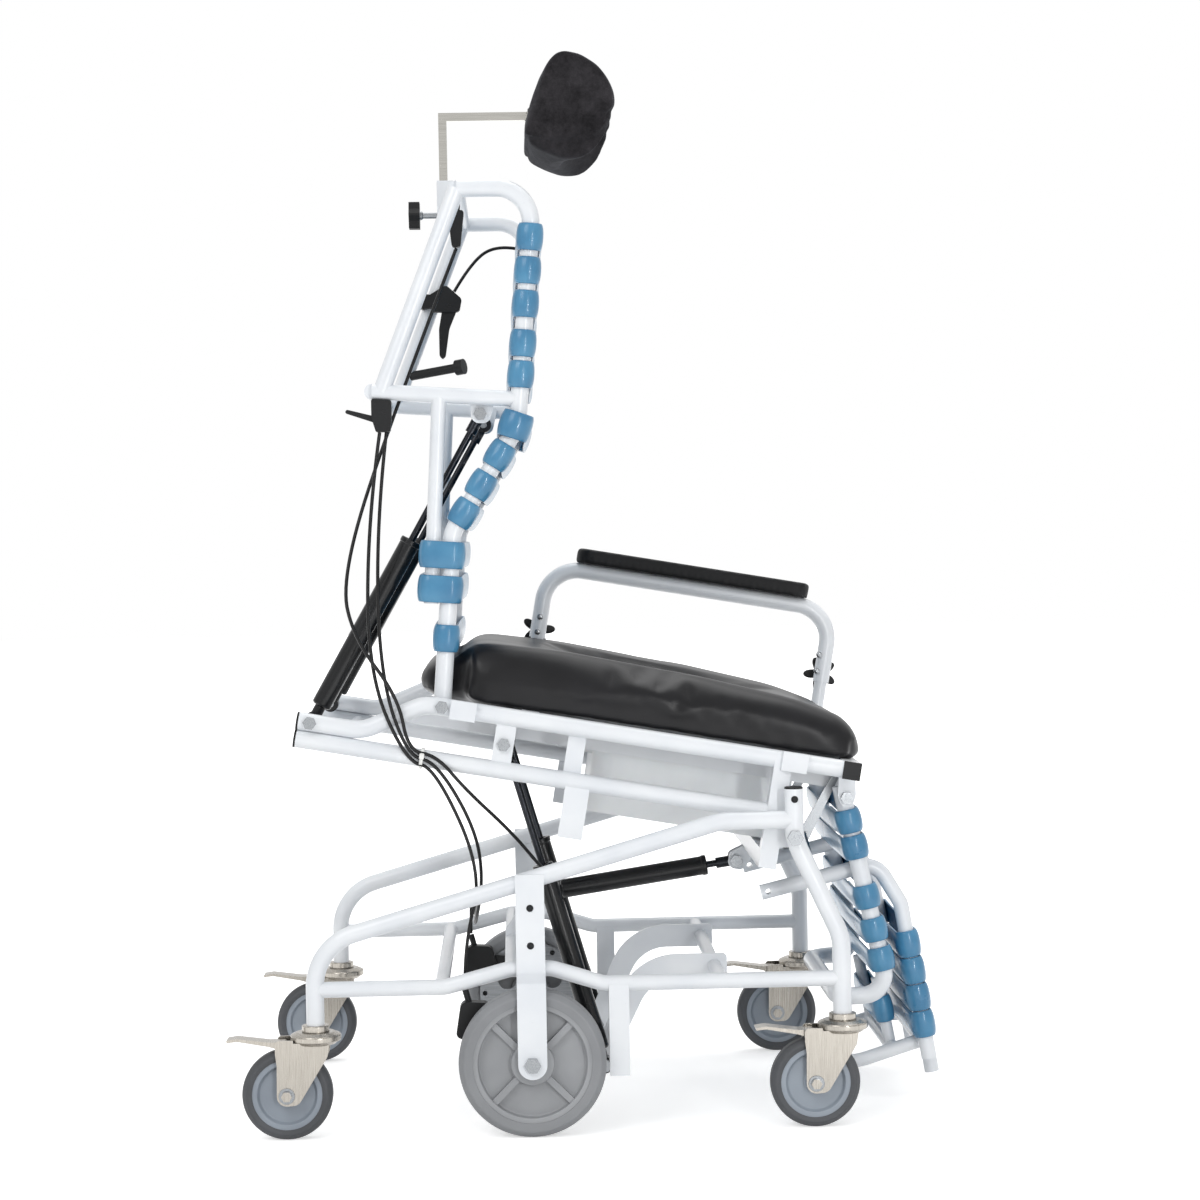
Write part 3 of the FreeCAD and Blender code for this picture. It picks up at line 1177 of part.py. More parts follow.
def gas_spring(label, foot, head, length, y, eye):
    """Cylinder with an eye at its foot, and the rod with an eye at its head, on one line."""
    start = side(foot, y)
    end = side(head, y)
    along = (end - start).normalize()
    frame = FreeCAD.Placement(start, FreeCAD.Rotation(Z_AXIS, along))
    radius = size("cylinder_d") / 2
    bore = size("cylinder_bore") / 2
    half_eye = eye / 2
    barrel = turned(label + "_barrel", [
        (0, 4, 0), (SPRING_NECK, 4, 0), (SPRING_NECK, NECK_END, 0), (radius, NECK_END, 4),
        (radius, length - 8, 1), (radius + 1, length - 7, 1), (radius + 1, length, 2), (bore, length, 0),
        (bore, 2 * NECK_END, 3), (0, 2 * NECK_END, 0)], start, along)
    foot_eye = rod(label + "_foot_eye", "eye_d", start - Y_AXIS * half_eye, start + Y_AXIS * half_eye)
    hole = rod(label + "_foot_hole", "bolt_d + 2 * fit", start - Y_AXIS * 60, start + Y_AXIS * 60)
    cylinder = cut(label + "_cylinder", fuse(label + "_cylinder_welded", [barrel, foot_eye]), [hole])
    span = (end - start).Length
    shaft = rod(label + "_shaft", "piston_rod_d", frame.multVec(Vector(0, 0, length - ROD_INSIDE)),
                frame.multVec(Vector(0, 0, span)))
    collar = rod(label + "_collar", "16", frame.multVec(Vector(0, 0, span - 30)),
                 frame.multVec(Vector(0, 0, span)))
    head_eye = rod(label + "_head_eye", "eye_d", end - Y_AXIS * half_eye, end + Y_AXIS * half_eye)
    hole = rod(label + "_head_hole", "bolt_d + 2 * fit", end - Y_AXIS * 60, end + Y_AXIS * 60)
    piston = cut(label + "_rod", fuse(label + "_rod_welded", [shaft, collar, head_eye]), [hole])
    return cylinder, piston


ROD_INSIDE = 92.0
SPRING_NECK = 8.0
NECK_END = 22.0
recline_foot = SEAT.multVec(Vector(size("recline_foot_u"), 0, size("recline_foot_w")))
tilt_foot = Vector(size("tilt_foot_x"), 0, size("tilt_foot_z"))
tilt_head = SEAT.multVec(Vector(size("tilt_head_u"), 0, size("tilt_head_w")))
lock_anchor = Vector(size("lock_anchor_x"), 0, size("lock_anchor_z"))
lock_head = SEAT.multVec(Vector(size("lock_head_u"), 0, size("lock_head_w")))

for label, foot, head in (("recline", recline_foot, RECLINE_HEAD), ("tilt", tilt_foot, tilt_head)):
    cylinder, piston = gas_spring(label, foot, head, size(label + "_length"), -size(label + "_plane"),
                                  size("eye_width"))
    node(label + "_cylinders", pair(label + "_cylinder_left", cylinder))
    node(label + "_rods", pair(label + "_rod_left", piston))
lock_cylinder, lock_rod = gas_spring("lock", lock_anchor, lock_head, size("lock_length") - 20, 0,
                                     2 * ANCHOR_EAR[0] - 1)
node("lock_cylinder", [lock_cylinder])
node("lock_rod", [lock_rod])

# Leg rest and foot rest

LEG_TOP = Vector(360, 0, 461)
LEG_KNEE = Vector(424, 0, 166)
LEG_TAIL = Vector(351, 0, 162)
LEG_BEND = 30.0


def leg_rest():
    """One bent tube, hung on its top ends, whose foot turns back under the calf."""
    y = size("leg_half")
    points = [side(LEG_TOP, -y), side(LEG_KNEE, -y), side(LEG_TAIL, -y),
              side(LEG_TAIL, y), side(LEG_KNEE, y), side(LEG_TOP, y)]
    bent = tube("leg_tube", points, "leg_tube_od", LEG_BEND)
    drill = rod("leg_drill", "bolt_d + 2 * fit", leg_hinge - Y_AXIS * 400, leg_hinge + Y_AXIS * 400)
    along = (LEG_TOP - LEG_KNEE).normalize()
    cap = rod("leg_cap", "leg_tube_od", side(LEG_TOP, -y), side(LEG_TOP + along * CAP_HEIGHT, -y))
    node("legrest_frame", [cut("leg_tube_drilled", bent, [drill])] + pair("leg_cap_left", cap))
    straps = []
    for number, z in enumerate(CALF_STRAPS):
        centre = LEG_KNEE + (LEG_TOP - LEG_KNEE) * ((z - LEG_KNEE.z) / (LEG_TOP.z - LEG_KNEE.z))
        straps.append(strap(f"calf_strap_{number}", centre, LEG_TOP - LEG_KNEE, y, size("leg_tube_od"),
                            height="calf_strap_height"))
    node("calf_straps", straps)


CALF_STRAPS = (414.0, 377.0, 306.0, 259.0, 217.0)
leg_rest()

FOOT_ELBOW = Vector(447, 0, 290)
FOOT_END = Vector(484, 0, 70)
PLATE_REAR = Vector(374, 0, 56)
PLATE_FRONT = Vector(478, 0, 88)
INNER_TOP = Vector(417, 0, 176)
INNER_FOOT = Vector(436, 0, 76)
PLATE_HALF = 134.0
INNER_HALF = 108.0


def foot_rest():
    """Side tubes with arms to the rear, a foot bar, a tube platform, inner posts and short stubs."""
    y = -size("foot_half")
    arm = tube("foot_side_tube", [side(point, y) for point in (ARM_TAIL, ARM_KNEE, FOOT_ELBOW, FOOT_END)],
               "foot_tube_od", 30)
    platform = tube("platform_tube", [
        side(PLATE_FRONT, -PLATE_HALF), side(PLATE_REAR, -PLATE_HALF), side(PLATE_REAR, PLATE_HALF),
        side(PLATE_FRONT, PLATE_HALF)], "foot_bar_od", 26)
    bar = rod("foot_bar", "foot_bar_od - 1", side(PLATE_FRONT, y), side(PLATE_FRONT, -y))
    post = rod("inner_post", "foot_bar_od - 3", side(INNER_TOP, -INNER_HALF), side(INNER_FOOT, -INNER_HALF))
    tread = rod("platform_tread", "foot_bar_od - 1", side(INNER_FOOT, -PLATE_HALF), side(INNER_FOOT,
                                                                                         PLATE_HALF))
    stub = rod("foot_stub", "foot_tube_od - 1", Vector(488, -STUB_Y, 92), Vector(497, -STUB_Y, 38))
    drill = rod("arm_tail_hole", "8", side(ARM_TAIL, y - 30) + Vector(10, 0, 2.3),
                side(ARM_TAIL, y + 30) + Vector(10, 0, 2.3))
    body = fuse("foot_bar_welded", [bar, fuse("platform_welded", [platform, tread])])
    for source in (post, stub, arm):
        body = fuse(source.Name + "_welded", [body] + pair(source.Name + "_left", source))
    body = cut("foot_frame_drilled", body, pair("arm_tail_hole_left", drill))
    along = (FOOT_END - FOOT_ELBOW).normalize()
    tube_cap = rod("foot_tube_cap", "foot_tube_od", side(FOOT_END, y),
                   side(FOOT_END + along * CAP_HEIGHT, y))
    down = Vector(9, 0, -54).normalize()
    stub_end = Vector(497, -STUB_Y, 38)
    stub_cap = rod("foot_stub_cap", "foot_tube_od - 1", stub_end, stub_end + down * CAP_HEIGHT)
    node("footrest_frame", [body] + pair("foot_tube_cap_left", tube_cap) + pair("foot_stub_cap_left",
                                                                                stub_cap))
    straps = []
    for number, fraction in enumerate(FOOT_STRAPS):
        centre = FOOT_ELBOW + (FOOT_END - FOOT_ELBOW) * fraction
        straps.append(strap(f"foot_strap_{number}", centre, FOOT_ELBOW - FOOT_END, size("foot_half"),
                            size("foot_tube_od")))
    centre = INNER_FOOT + (INNER_TOP - INNER_FOOT) * 0.55
    straps.append(strap("inner_strap", centre, INNER_TOP - INNER_FOOT, INNER_HALF, size("foot_bar_od") - 3))
    node("foot_straps", straps)


STUB_Y = 96.0
FOOT_STRAPS = (0.26, 0.435, 0.61, 0.785)
foot_rest()

# Control cables

def cable(name, points):
    """A cable through the points, with an arc at each bend as wide as its runs allow."""
    corners = [(points[0], 0)]
    for before, point, after in zip(points, points[1:], points[2:]):
        run = min((before - point).Length, (after - point).Length)
        half_turn = (point - before).getAngle(after - point) / 2
        corners.append((point, 0.45 * run / math.tan(half_turn)))
    corners.append((points[-1], 0))
    return swept(name, corners, "cable_d")


def at_tie(offset):
    """Two points of a cable beside the lower seat rail, either side of the tie, at a height on the rail."""
    out = (size("seat_tube_od") + size("cable_d")) / 2 + 0.4
    return [SEAT.multVec(Vector(u, -rail_y - out, size("low_rail_w") + offset))
            for u in (TIE_U - 20, TIE_U + 20)]


def control_cables():
    """Brake cables from the lower lever, the spring cable from the splitter, the grip's arc, the tie."""
    barrel = brake_barrel_top
    far_barrel = side(barrel, -barrel.y)
    right = cable("brake_cable_right", [
        Vector(-283, -224, 975.6), Vector(-302, -232, 850), Vector(-304, -265.5, 640), *at_tie(-TIE_PITCH),
        Vector(-150, -262, 360), barrel + Z_AXIS * 60, barrel])
    left = cable("brake_cable_left", [
        Vector(-274, -216, 975.6), Vector(-290, -226, 850), Vector(-288, -265.5, 640), *at_tie(0),
        Vector(-160, -262, 424), Vector(-150, -225, 345), Vector(-166, -150, 262), Vector(-166, 150, 262),
        far_barrel + Z_AXIS * 70, far_barrel])
    spring = cable("spring_cable", [
        Vector(-172, -168, 1236.8), Vector(-282, -196, 960), Vector(-340, -240, 770), Vector(-322, -276,
                                                                                             690),
        Vector(-262, -270, 606), *at_tie(TIE_PITCH), Vector(-172, -262, 476), Vector(-110, -222, 412),
        Vector(-68, -206, 358), Vector(-67.5, -185.4, 357)])
    grip = cable("grip_cable", [
        Vector(-183.4, GRIP_Y, 1207.7), Vector(-154, GRIP_Y, 1256), Vector(-114, 206, 1280),
        Vector(-80.6, 219, 1274)])
    wall = 1.5
    inner = size("seat_tube_od") / 2 + 0.5
    reach = -rail_y - inner - size("cable_d") - 0.6
    loops = []
    for grow in (wall, 0):
        loops.append(flat_loop([(reach - grow, -inner - grow, 6 + grow), (-rail_y + inner + grow,
                                                                          -inner - grow, 11),
                                (-rail_y + inner + grow, inner + grow, 11), (reach - grow, inner + grow,
                                                                             6 + grow)]))
    across = FreeCAD.Placement(Vector(TIE_U - 2.5, 0, size("low_rail_w")), FreeCAD.Rotation(Vector(1, 1,
                                                                                                   1), 120))
    tie = slab("cable_tie", loops, "5", SEAT * across)
    return [right, left, spring, grip, tie]


TIE_U = -528.0
TIE_PITCH = 8.0
node("control_cables", control_cables())

# Checks and files

def check_and_export():
    """Recompute, refuse any failed object or bad shape, and write one file for each sub-part."""
    doc.recompute()
    failed = [item.Name for item in doc.Objects
              if "Invalid" in item.State or "Error" in item.State]
    if failed:
        raise RuntimeError("objects that failed: " + ", ".join(failed))
    for label, piece in nodes.items():
        if piece.Shape.isNull() or not piece.Shape.isValid() or not piece.Shape.Solids:
            raise RuntimeError("bad shape: " + label)
    os.makedirs("parts", exist_ok=True)
    for label, piece in nodes.items():
        piece.Shape.exportStep(f"parts/{label}.step")


check_and_export()
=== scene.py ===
"""Looks for the tilting shower commode chair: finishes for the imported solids, and soft pieces, straps,
cables and small fittings modelled over them. Metres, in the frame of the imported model.
"""

import math

import bmesh
import bpy
from mathutils import Matrix, Vector


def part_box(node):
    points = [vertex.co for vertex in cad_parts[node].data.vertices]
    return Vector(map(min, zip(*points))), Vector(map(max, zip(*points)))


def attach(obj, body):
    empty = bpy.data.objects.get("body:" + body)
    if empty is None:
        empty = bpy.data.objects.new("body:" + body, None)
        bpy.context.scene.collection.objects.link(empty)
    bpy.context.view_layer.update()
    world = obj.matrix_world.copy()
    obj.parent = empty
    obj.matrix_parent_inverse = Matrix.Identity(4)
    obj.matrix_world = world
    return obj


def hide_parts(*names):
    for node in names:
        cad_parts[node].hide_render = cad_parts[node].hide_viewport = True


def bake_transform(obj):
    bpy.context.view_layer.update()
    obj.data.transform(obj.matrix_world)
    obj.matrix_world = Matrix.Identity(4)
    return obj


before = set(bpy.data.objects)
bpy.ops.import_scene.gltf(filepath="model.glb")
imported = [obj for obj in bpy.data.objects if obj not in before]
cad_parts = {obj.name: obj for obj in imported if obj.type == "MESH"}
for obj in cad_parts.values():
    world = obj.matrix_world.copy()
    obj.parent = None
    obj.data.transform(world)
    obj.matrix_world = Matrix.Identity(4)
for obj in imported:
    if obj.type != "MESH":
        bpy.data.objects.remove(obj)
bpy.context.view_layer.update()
MM = 0.001


def put(name, data):
    """A new object in the scene."""
    made = bpy.data.objects.new(name, data)
    bpy.context.collection.objects.link(made)
    return made


# Camera: on the chair's right side, a little above the arm rest and almost square to the chair

PHOTO_SIZE = 1200
FOCAL_PIXELS = 2762
SENSOR_MM = 36.0
CAMERA_PLACE = Vector((-0.0965, -4.10, 0.826))
ACROSS_POINT = (515, 537)
ROLL = math.radians(1.1)


def place_camera():
    """Aim the camera so that lines across the chair meet at one point of the picture."""
    data = bpy.data.cameras.new("photo_camera")
    data.sensor_width = SENSOR_MM
    data.lens = SENSOR_MM * FOCAL_PIXELS / PHOTO_SIZE
    right = Vector((math.cos(ROLL), 0, -math.sin(ROLL)))
    down = Vector((-math.sin(ROLL), 0, -math.cos(ROLL)))
    off_right, off_down = (PHOTO_SIZE / 2 - pixel for pixel in ACROSS_POINT)
    ahead = Vector((0, FOCAL_PIXELS, 0)) + right * off_right + down * off_down
    ahead.normalize()
    right = (right - ahead * right.dot(ahead)).normalized()
    up = right.cross(ahead)
    camera = put("photo_camera", data)
    facing = Matrix((right, up, -ahead)).transposed().to_4x4()
    camera.matrix_world = Matrix.Translation(CAMERA_PLACE) @ facing
    bpy.context.scene.camera = camera


place_camera()

# Materials

RAMP_ENDS = (0.3, 0.7)


def linear(hex_colour):
    """An sRGB hex colour as linear red, green, blue, alpha."""
    parts = [int(hex_colour[i:i + 2], 16) / 255 for i in (1, 3, 5)]
    return tuple(c / 12.92 if c <= 0.04045 else ((c + 0.055) / 1.055) ** 2.4 for c in parts) + (1.0,)


def bare_tree(owner):
    """The emptied node tree of a material or a world."""
    owner.use_nodes = True
    owner.node_tree.nodes.clear()
    return owner.node_tree


def add(tree, kind, settings=None, links=None):
    """Add a node, set its properties and input values, and link other nodes' outputs into it."""
    made = tree.nodes.new(kind)
    for key, value in (settings or {}).items():
        if isinstance(key, str) and hasattr(made, key):
            setattr(made, key, value)
        else:
            made.inputs[key].default_value = value
    for key, source in (links or {}).items():
        tree.links.new(source, made.inputs[key])
    return made


def surface(name, settings):
    """A material with one shader; returns it with its tree, its shader and object coordinates."""
    material = bpy.data.materials.new(name)
    tree = bare_tree(material)
    shader = add(tree, "ShaderNodeBsdfPrincipled", settings)
    add(tree, "ShaderNodeOutputMaterial", links={"Surface": shader.outputs["BSDF"]})
    where = add(tree, "ShaderNodeTexCoord")
    return material, tree, shader, where.outputs["Object"]


def per_mm(pattern_mm):
    """Texture scale for a pattern of that size in millimetres."""
    return 1000.0 / pattern_mm


def drive(tree, shader, colour, relief, gloss=None):
    """Let patterns drive a shader: (pattern, low, high) for its colour in hex and for its roughness, and
    (pattern, depth in millimetres, strength) for its relief.
    """
    ramp = add(tree, "ShaderNodeValToRGB", links={"Fac": colour[0]})
    for stop, place, tone in zip(ramp.color_ramp.elements, RAMP_ENDS, colour[1:]):
        stop.position = place
        stop.color = linear(tone)
    tree.links.new(ramp.outputs["Color"], shader.inputs["Base Color"])
    pattern, depth_mm, strength = relief
    bump = add(tree, "ShaderNodeBump", {"Strength": strength, "Distance": depth_mm * MM}, {"Height": pattern})
    tree.links.new(bump.outputs["Normal"], shader.inputs["Normal"])
    if gloss:
        pattern, low, high = gloss
        rough = add(tree, "ShaderNodeMapRange", {"To Min": low, "To Max": high}, {"Value": pattern})
        tree.links.new(rough.outputs["Result"], shader.inputs["Roughness"])


def moulded(name, low, high, rough, grain_mm, depth_mm, settings=None):
    """Moulded or sprayed finish: fine grain in relief and gloss, and a slow drift of colour that keeps a
    wide face from looking flat.
    """
    material, tree, shader, where = surface(name, settings or {"IOR": 1.5})
    drift = add(tree, "ShaderNodeTexNoise", {"Scale": per_mm(90), "Detail": 3.0}, {"Vector": where})
    grain = add(tree, "ShaderNodeTexNoise", {"Scale": per_mm(grain_mm), "Detail": 2.0}, {"Vector": where})
    drive(tree, shader, (drift.outputs["Fac"], low, high), (grain.outputs["Fac"], depth_mm, 0.6),
          (grain.outputs["Fac"], *rough))
    return material


def powder_coat(name, low, high):
    """Powder coat on steel tube: glossy, with the faint orange peel that melted powder leaves."""
    return moulded(name, low, high, (0.24, 0.36), 3.0, 0.05,
                   {"IOR": 1.5, "Coat Weight": 0.25, "Coat Roughness": 0.15})


def brushed(name, low, high, rough, along):
    """Bright metal with short scratches along one axis, which break up its highlights."""
    material, tree, shader, where = surface(name, {"Metallic": 1.0})
    stretch = [per_mm(0.7)] * 3
    stretch[along] = per_mm(40)
    turned = add(tree, "ShaderNodeMapping", {"Scale": stretch}, {"Vector": where})
    scratches = add(tree, "ShaderNodeTexNoise", {"Scale": 1.0, "Detail": 3.0},
                    {"Vector": turned.outputs["Vector"]})
    pattern = scratches.outputs["Fac"]
    drive(tree, shader, (pattern, low, high), (pattern, 0.006, 0.3), (pattern, *rough))
    return material


def strap_vinyl():
    """Calendered vinyl on woven webbing: a glossy blue with a sharp streak of light and a faint cloth
    print.
    """
    material, tree, shader, where = surface(
        "coated_vinyl_webbing", {"IOR": 1.4, "Coat Weight": 0.25, "Coat Roughness": 0.07})
    drift = add(tree, "ShaderNodeTexNoise", {"Scale": per_mm(45), "Detail": 4.0}, {"Vector": where})
    # The webbing's threads are about 0.6 mm apart; 1.4 mm shows in the picture
    threads = add(tree, "ShaderNodeTexVoronoi", {"Scale": per_mm(1.4)}, {"Vector": where})
    drive(tree, shader, (drift.outputs["Fac"], "#3a769d", "#4f8db2"),
          (threads.outputs["Distance"], 0.04, 0.4), (drift.outputs["Fac"], 0.24, 0.34))
    return material


def seat_vinyl():
    """Soft upholstery vinyl over moulded foam: black, with a pebbled grain and a broad soft shine."""
    material, tree, shader, where = surface(
        "black_upholstery_vinyl", {"IOR": 1.3, "Coat Weight": 0.06, "Coat Roughness": 0.35})
    drift = add(tree, "ShaderNodeTexNoise", {"Scale": per_mm(70), "Detail": 4.0}, {"Vector": where})
    # Grain cells of such vinyl are about 1 mm; 1.8 mm shows in the picture
    cells = add(tree, "ShaderNodeTexVoronoi", {"Scale": per_mm(1.8), "feature": "SMOOTH_F1"},
                {"Vector": where})
    drive(tree, shader, (drift.outputs["Fac"], "#0f0f11", "#19191c"),
          (cells.outputs["Distance"], 0.12, 0.45), (drift.outputs["Fac"], 0.28, 0.4))
    return material


def velour():
    """Short black pile over foam: no shine, a light edge where the pile is seen from the side."""
    material, tree, shader, where = surface(
        "black_velour", {"Roughness": 0.95, "IOR": 1.2, "Sheen Weight": 0.3, "Sheen Roughness": 0.5,
                         "Sheen Tint": linear("#8d9096")})
    tufts = add(tree, "ShaderNodeTexNoise", {"Scale": per_mm(1.6), "Detail": 3.0}, {"Vector": where})
    nap = add(tree, "ShaderNodeTexNoise", {"Scale": per_mm(38), "Detail": 8.0, "Roughness": 0.78},
              {"Vector": where})
    drive(tree, shader, (nap.outputs["Fac"], "#0a0a0b", "#3a383b"), (tufts.outputs["Fac"], 0.5, 0.7))
    return material


white_coat = powder_coat("white_powder_coat", "#dde1e6", "#e8ebee")
blue_vinyl = strap_vinyl()
black_vinyl = seat_vinyl()
black_pile = velour()
stainless = brushed("brushed_stainless_steel", "#9a958d", "#b5b0a8", (0.22, 0.32), 2)
polished = brushed("polished_stainless_steel", "#aeaca6", "#bfbdb7", (0.14, 0.2), 0)
zinc = brushed("bright_zinc_plate", "#7b7e81", "#a3a6a9", (0.22, 0.36), 1)
rotor_steel = brushed("ground_rotor_steel", "#7d7f82", "#9a9da0", (0.3, 0.45), 0)
spring_paint = moulded("black_spring_enamel", "#0e0f10", "#17181a", (0.2, 0.3), 2.5, 0.03,
                       {"IOR": 1.33, "Coat Weight": 0.1, "Coat Roughness": 0.1})
rod_nitride = brushed("black_nitrided_rod", "#232427", "#34363a", (0.18, 0.3), 2)
black_abs = moulded("black_moulded_abs", "#0e0f10", "#18191b", (0.38, 0.52), 0.9, 0.06, {"IOR": 1.33})
arm_foam = moulded("black_skinned_foam", "#0f1011", "#19191b", (0.5, 0.62), 1.3, 0.12, {"IOR": 1.3})
white_poly = moulded("white_moulded_polypropylene", "#e4e6e8", "#eef0f1", (0.3, 0.42), 1.2, 0.04,
                     {"IOR": 1.49, "Subsurface Weight": 0.05})
nylon = moulded("white_nylon", "#e2e3e0", "#efefec", (0.35, 0.5), 1.0, 0.03)
core_nylon = moulded("blue_grey_nylon", "#838b95", "#97a0aa", (0.36, 0.5), 1.1, 0.06)
hub_nylon = moulded("grey_glass_filled_nylon", "#8f9194", "#a1a3a6", (0.42, 0.55), 1.1, 0.07)
wheel_rubber = moulded("grey_cast_polyurethane", "#7f8184", "#8d8f92", (0.5, 0.64), 1.6, 0.1)
caster_rubber = moulded("dark_grey_thermoplastic_rubber", "#3f4144", "#4c4e52", (0.5, 0.65), 1.6, 0.1)
cable_pvc = moulded("black_pvc_sheath", "#0c0c0d", "#151617", (0.28, 0.4), 2.0, 0.02, {"IOR": 1.33})

FINISHES = {
    "base_frame": white_coat, "base_cross": white_coat, "spring_cradle": white_coat,
    "seat_frame": white_coat, "back_frame": white_coat, "armrest_tube": white_coat,
    "armrest_posts": white_coat, "legrest_frame": white_coat, "footrest_frame": white_coat,
    "base_caps": black_abs, "seat_caps": black_abs, "brake_calipers": black_abs,
    "cable_housings": black_abs, "release_lever": black_abs, "grip_lever": black_abs,
    "headrest_knob": black_abs, "base_bolts": zinc, "seat_fittings": zinc, "back_bolts": zinc,
    "caster_stems": stainless, "caster_fork": stainless, "caster_pedal": stainless,
    "caster_core": core_nylon, "caster_tyre": caster_rubber, "wheel_tyre": wheel_rubber,
    "wheel_hub": hub_nylon, "brake_rotor": rotor_steel, "commode_pan": white_poly,
    "headrest_post": polished, "recline_cylinders": spring_paint, "tilt_cylinders": spring_paint,
    "lock_cylinder": spring_paint, "recline_rods": rod_nitride, "tilt_rods": rod_nitride,
    "lock_rod": rod_nitride,
}


def finish_nodes():
    """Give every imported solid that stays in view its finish."""
    for name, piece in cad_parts.items():
        for start, material in FINISHES.items():
            if name.startswith(start):
                piece.data.materials.clear()
                piece.data.materials.append(material)


finish_nodes()

# Shared helpers

SHARP_ANGLE = math.radians(35)
WELD = 0.01 * MM
SEAT_PITCH = math.radians(10)
SEAT_PIVOT = Vector((0.283, 0, 0.403))
TO_SEAT = Matrix.Rotation(-SEAT_PITCH, 3, "Y")
FROM_SEAT = TO_SEAT.inverted()


def in_seat(place):
    """A point of the chair's frame, in metres, in the seat's own frame in millimetres."""
    return (TO_SEAT @ (place - SEAT_PIVOT)) / MM


def on_seat(u, y, w):
    """A point of the seat's own frame, in millimetres, in the chair's frame in metres."""
    return SEAT_PIVOT + FROM_SEAT @ Vector((u, y, w)) * MM


def point(x, z):
    """A side-view point in millimetres, in the middle plane, in metres."""
    return Vector((x * MM, 0, z * MM))


def spread(start, end, fractions):
    """Points along a line."""
    return [start + (end - start) * fraction for fraction in fractions]


def clamp(value):
    """A value kept between nought and one."""
    return max(0.0, min(1.0, value))


def bell(value, width):
    """A smooth hump of height one."""
    return math.exp(-(value / width) ** 2)


def verts_of(geom):
    """The vertices among the pieces that a bmesh operator made."""
    return [item for item in geom if isinstance(item, bmesh.types.BMVert)]


def new_piece(name, bm, material, body, smooth=True):
    """A finished bmesh as an object that rides on a body."""
    mesh = bpy.data.meshes.new(name)
    bm.to_mesh(mesh)
    bm.free()
    mesh.materials.append(material)
    mesh.polygons.foreach_set("use_smooth", [smooth] * len(mesh.polygons))
    piece = put(name, mesh)
    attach(piece, body)
    return piece


# Straps

STRAP_WALL = 3.4 * MM
STRAP_ROWS = (0.0, 0.03, 0.09, 0.2, 0.35, 0.5, 0.65, 0.8, 0.91, 0.97, 1.0)
STRAP_SEGMENTS = 32
STRAP_CUTS = 14
STRAP_TALL = 38 * MM
STRAP_SAG = 1.5 * MM
WRAP = 4.1 * MM
CROWN = 2.6 * MM
CROWN_POWER = 2.6
EDGE_ROUND = 0.6 * MM
EDGE_POWER = 14


def strap_band(bm, centre, along, half_span, radius, height, depth=0.0):
    """One vinyl band round two tubes: a slotted loop that swells between its rounded edges."""
    band = bmesh.new()
    ring = bmesh.ops.create_circle(band, cap_ends=False, segments=STRAP_SEGMENTS, radius=radius)["verts"]
    bmesh.ops.rotate(band, verts=ring, matrix=Matrix.Rotation(math.pi / STRAP_SEGMENTS, 3, "Z"))
    for vert in ring:
        vert.co.y += math.copysign(half_span, vert.co.y)
        vert.co.x += math.copysign(depth, vert.co.x)
    spans = [edge for edge in band.edges if edge.verts[0].co.y * edge.verts[1].co.y < 0]
    bmesh.ops.subdivide_edges(band, edges=spans, cuts=STRAP_CUTS)
    loop = band.edges[:]
    for low, high in zip(STRAP_ROWS, STRAP_ROWS[1:]):
        made = bmesh.ops.extrude_edge_only(band, edges=loop)["geom"]
        loop = [item for item in made if isinstance(item, bmesh.types.BMEdge)]
        bmesh.ops.translate(band, verts=verts_of(made), vec=(0, 0, (high - low) * height))
    for vert in band.verts:
        off_middle = abs(2 * vert.co.z / height - 1)
        outward = Vector((vert.co.x - math.copysign(depth, vert.co.x), 0, 0))
        if abs(vert.co.y) > half_span:
            outward.y = vert.co.y - math.copysign(half_span, vert.co.y)
        swell = CROWN * (1 - off_middle ** CROWN_POWER) - EDGE_ROUND * off_middle ** EDGE_POWER
        slack = 1 - min(1.0, abs(vert.co.y) / half_span) ** 2
        vert.co += outward.normalized() * swell
        vert.co.x -= STRAP_SAG * slack
    bmesh.ops.recalc_face_normals(band, faces=band.faces[:])
    bmesh.ops.solidify(band, geom=band.faces[:], thickness=STRAP_WALL)
    bmesh.ops.recalc_face_normals(band, faces=band.faces[:])
    lean = Vector((along.x, 0, along.z)).normalized()
    across = Vector((lean.z, 0, -lean.x))
    turn = Matrix((across, Vector((0, 1, 0)), lean)).transposed().to_4x4()
    foot = Matrix.Translation(centre - lean * (height / 2))
    bmesh.ops.transform(band, verts=band.verts[:], matrix=foot @ turn)
    spare = bpy.data.meshes.new("strap_spare")
    band.to_mesh(spare)
    band.free()
    bm.from_mesh(spare)
    bpy.data.meshes.remove(spare)


TOP_CORNER = point(-62, 1315)
SHOULDER = point(-90, 982)
WAIST = point(-184, 835)
BACK_HINGE = on_seat(-511, 0, 101)
BACK_FOOT = BACK_HINGE + Vector((-1, 0, -9)) * MM
POST_TOP = point(-199, 1027)
POST_FOOT = point(-216, 735)
BACK_HALF = 220 * MM
BACK_WRAP = 12.5 * MM + WRAP
BACK_TOP_STRAPS = (0.79, 0.65, 0.51, 0.345, 0.215)
BACK_SLOPE_STRAPS = (0.175, 0.44, 0.72)
BACK_WIDE_STRAPS = (803, 755)
BACK_LOW_STRAP = 0.41
SHOULDER_SLACK = 4.6 * MM
SHOULDER_SHIFT = Vector((3, 0, 0)) * MM


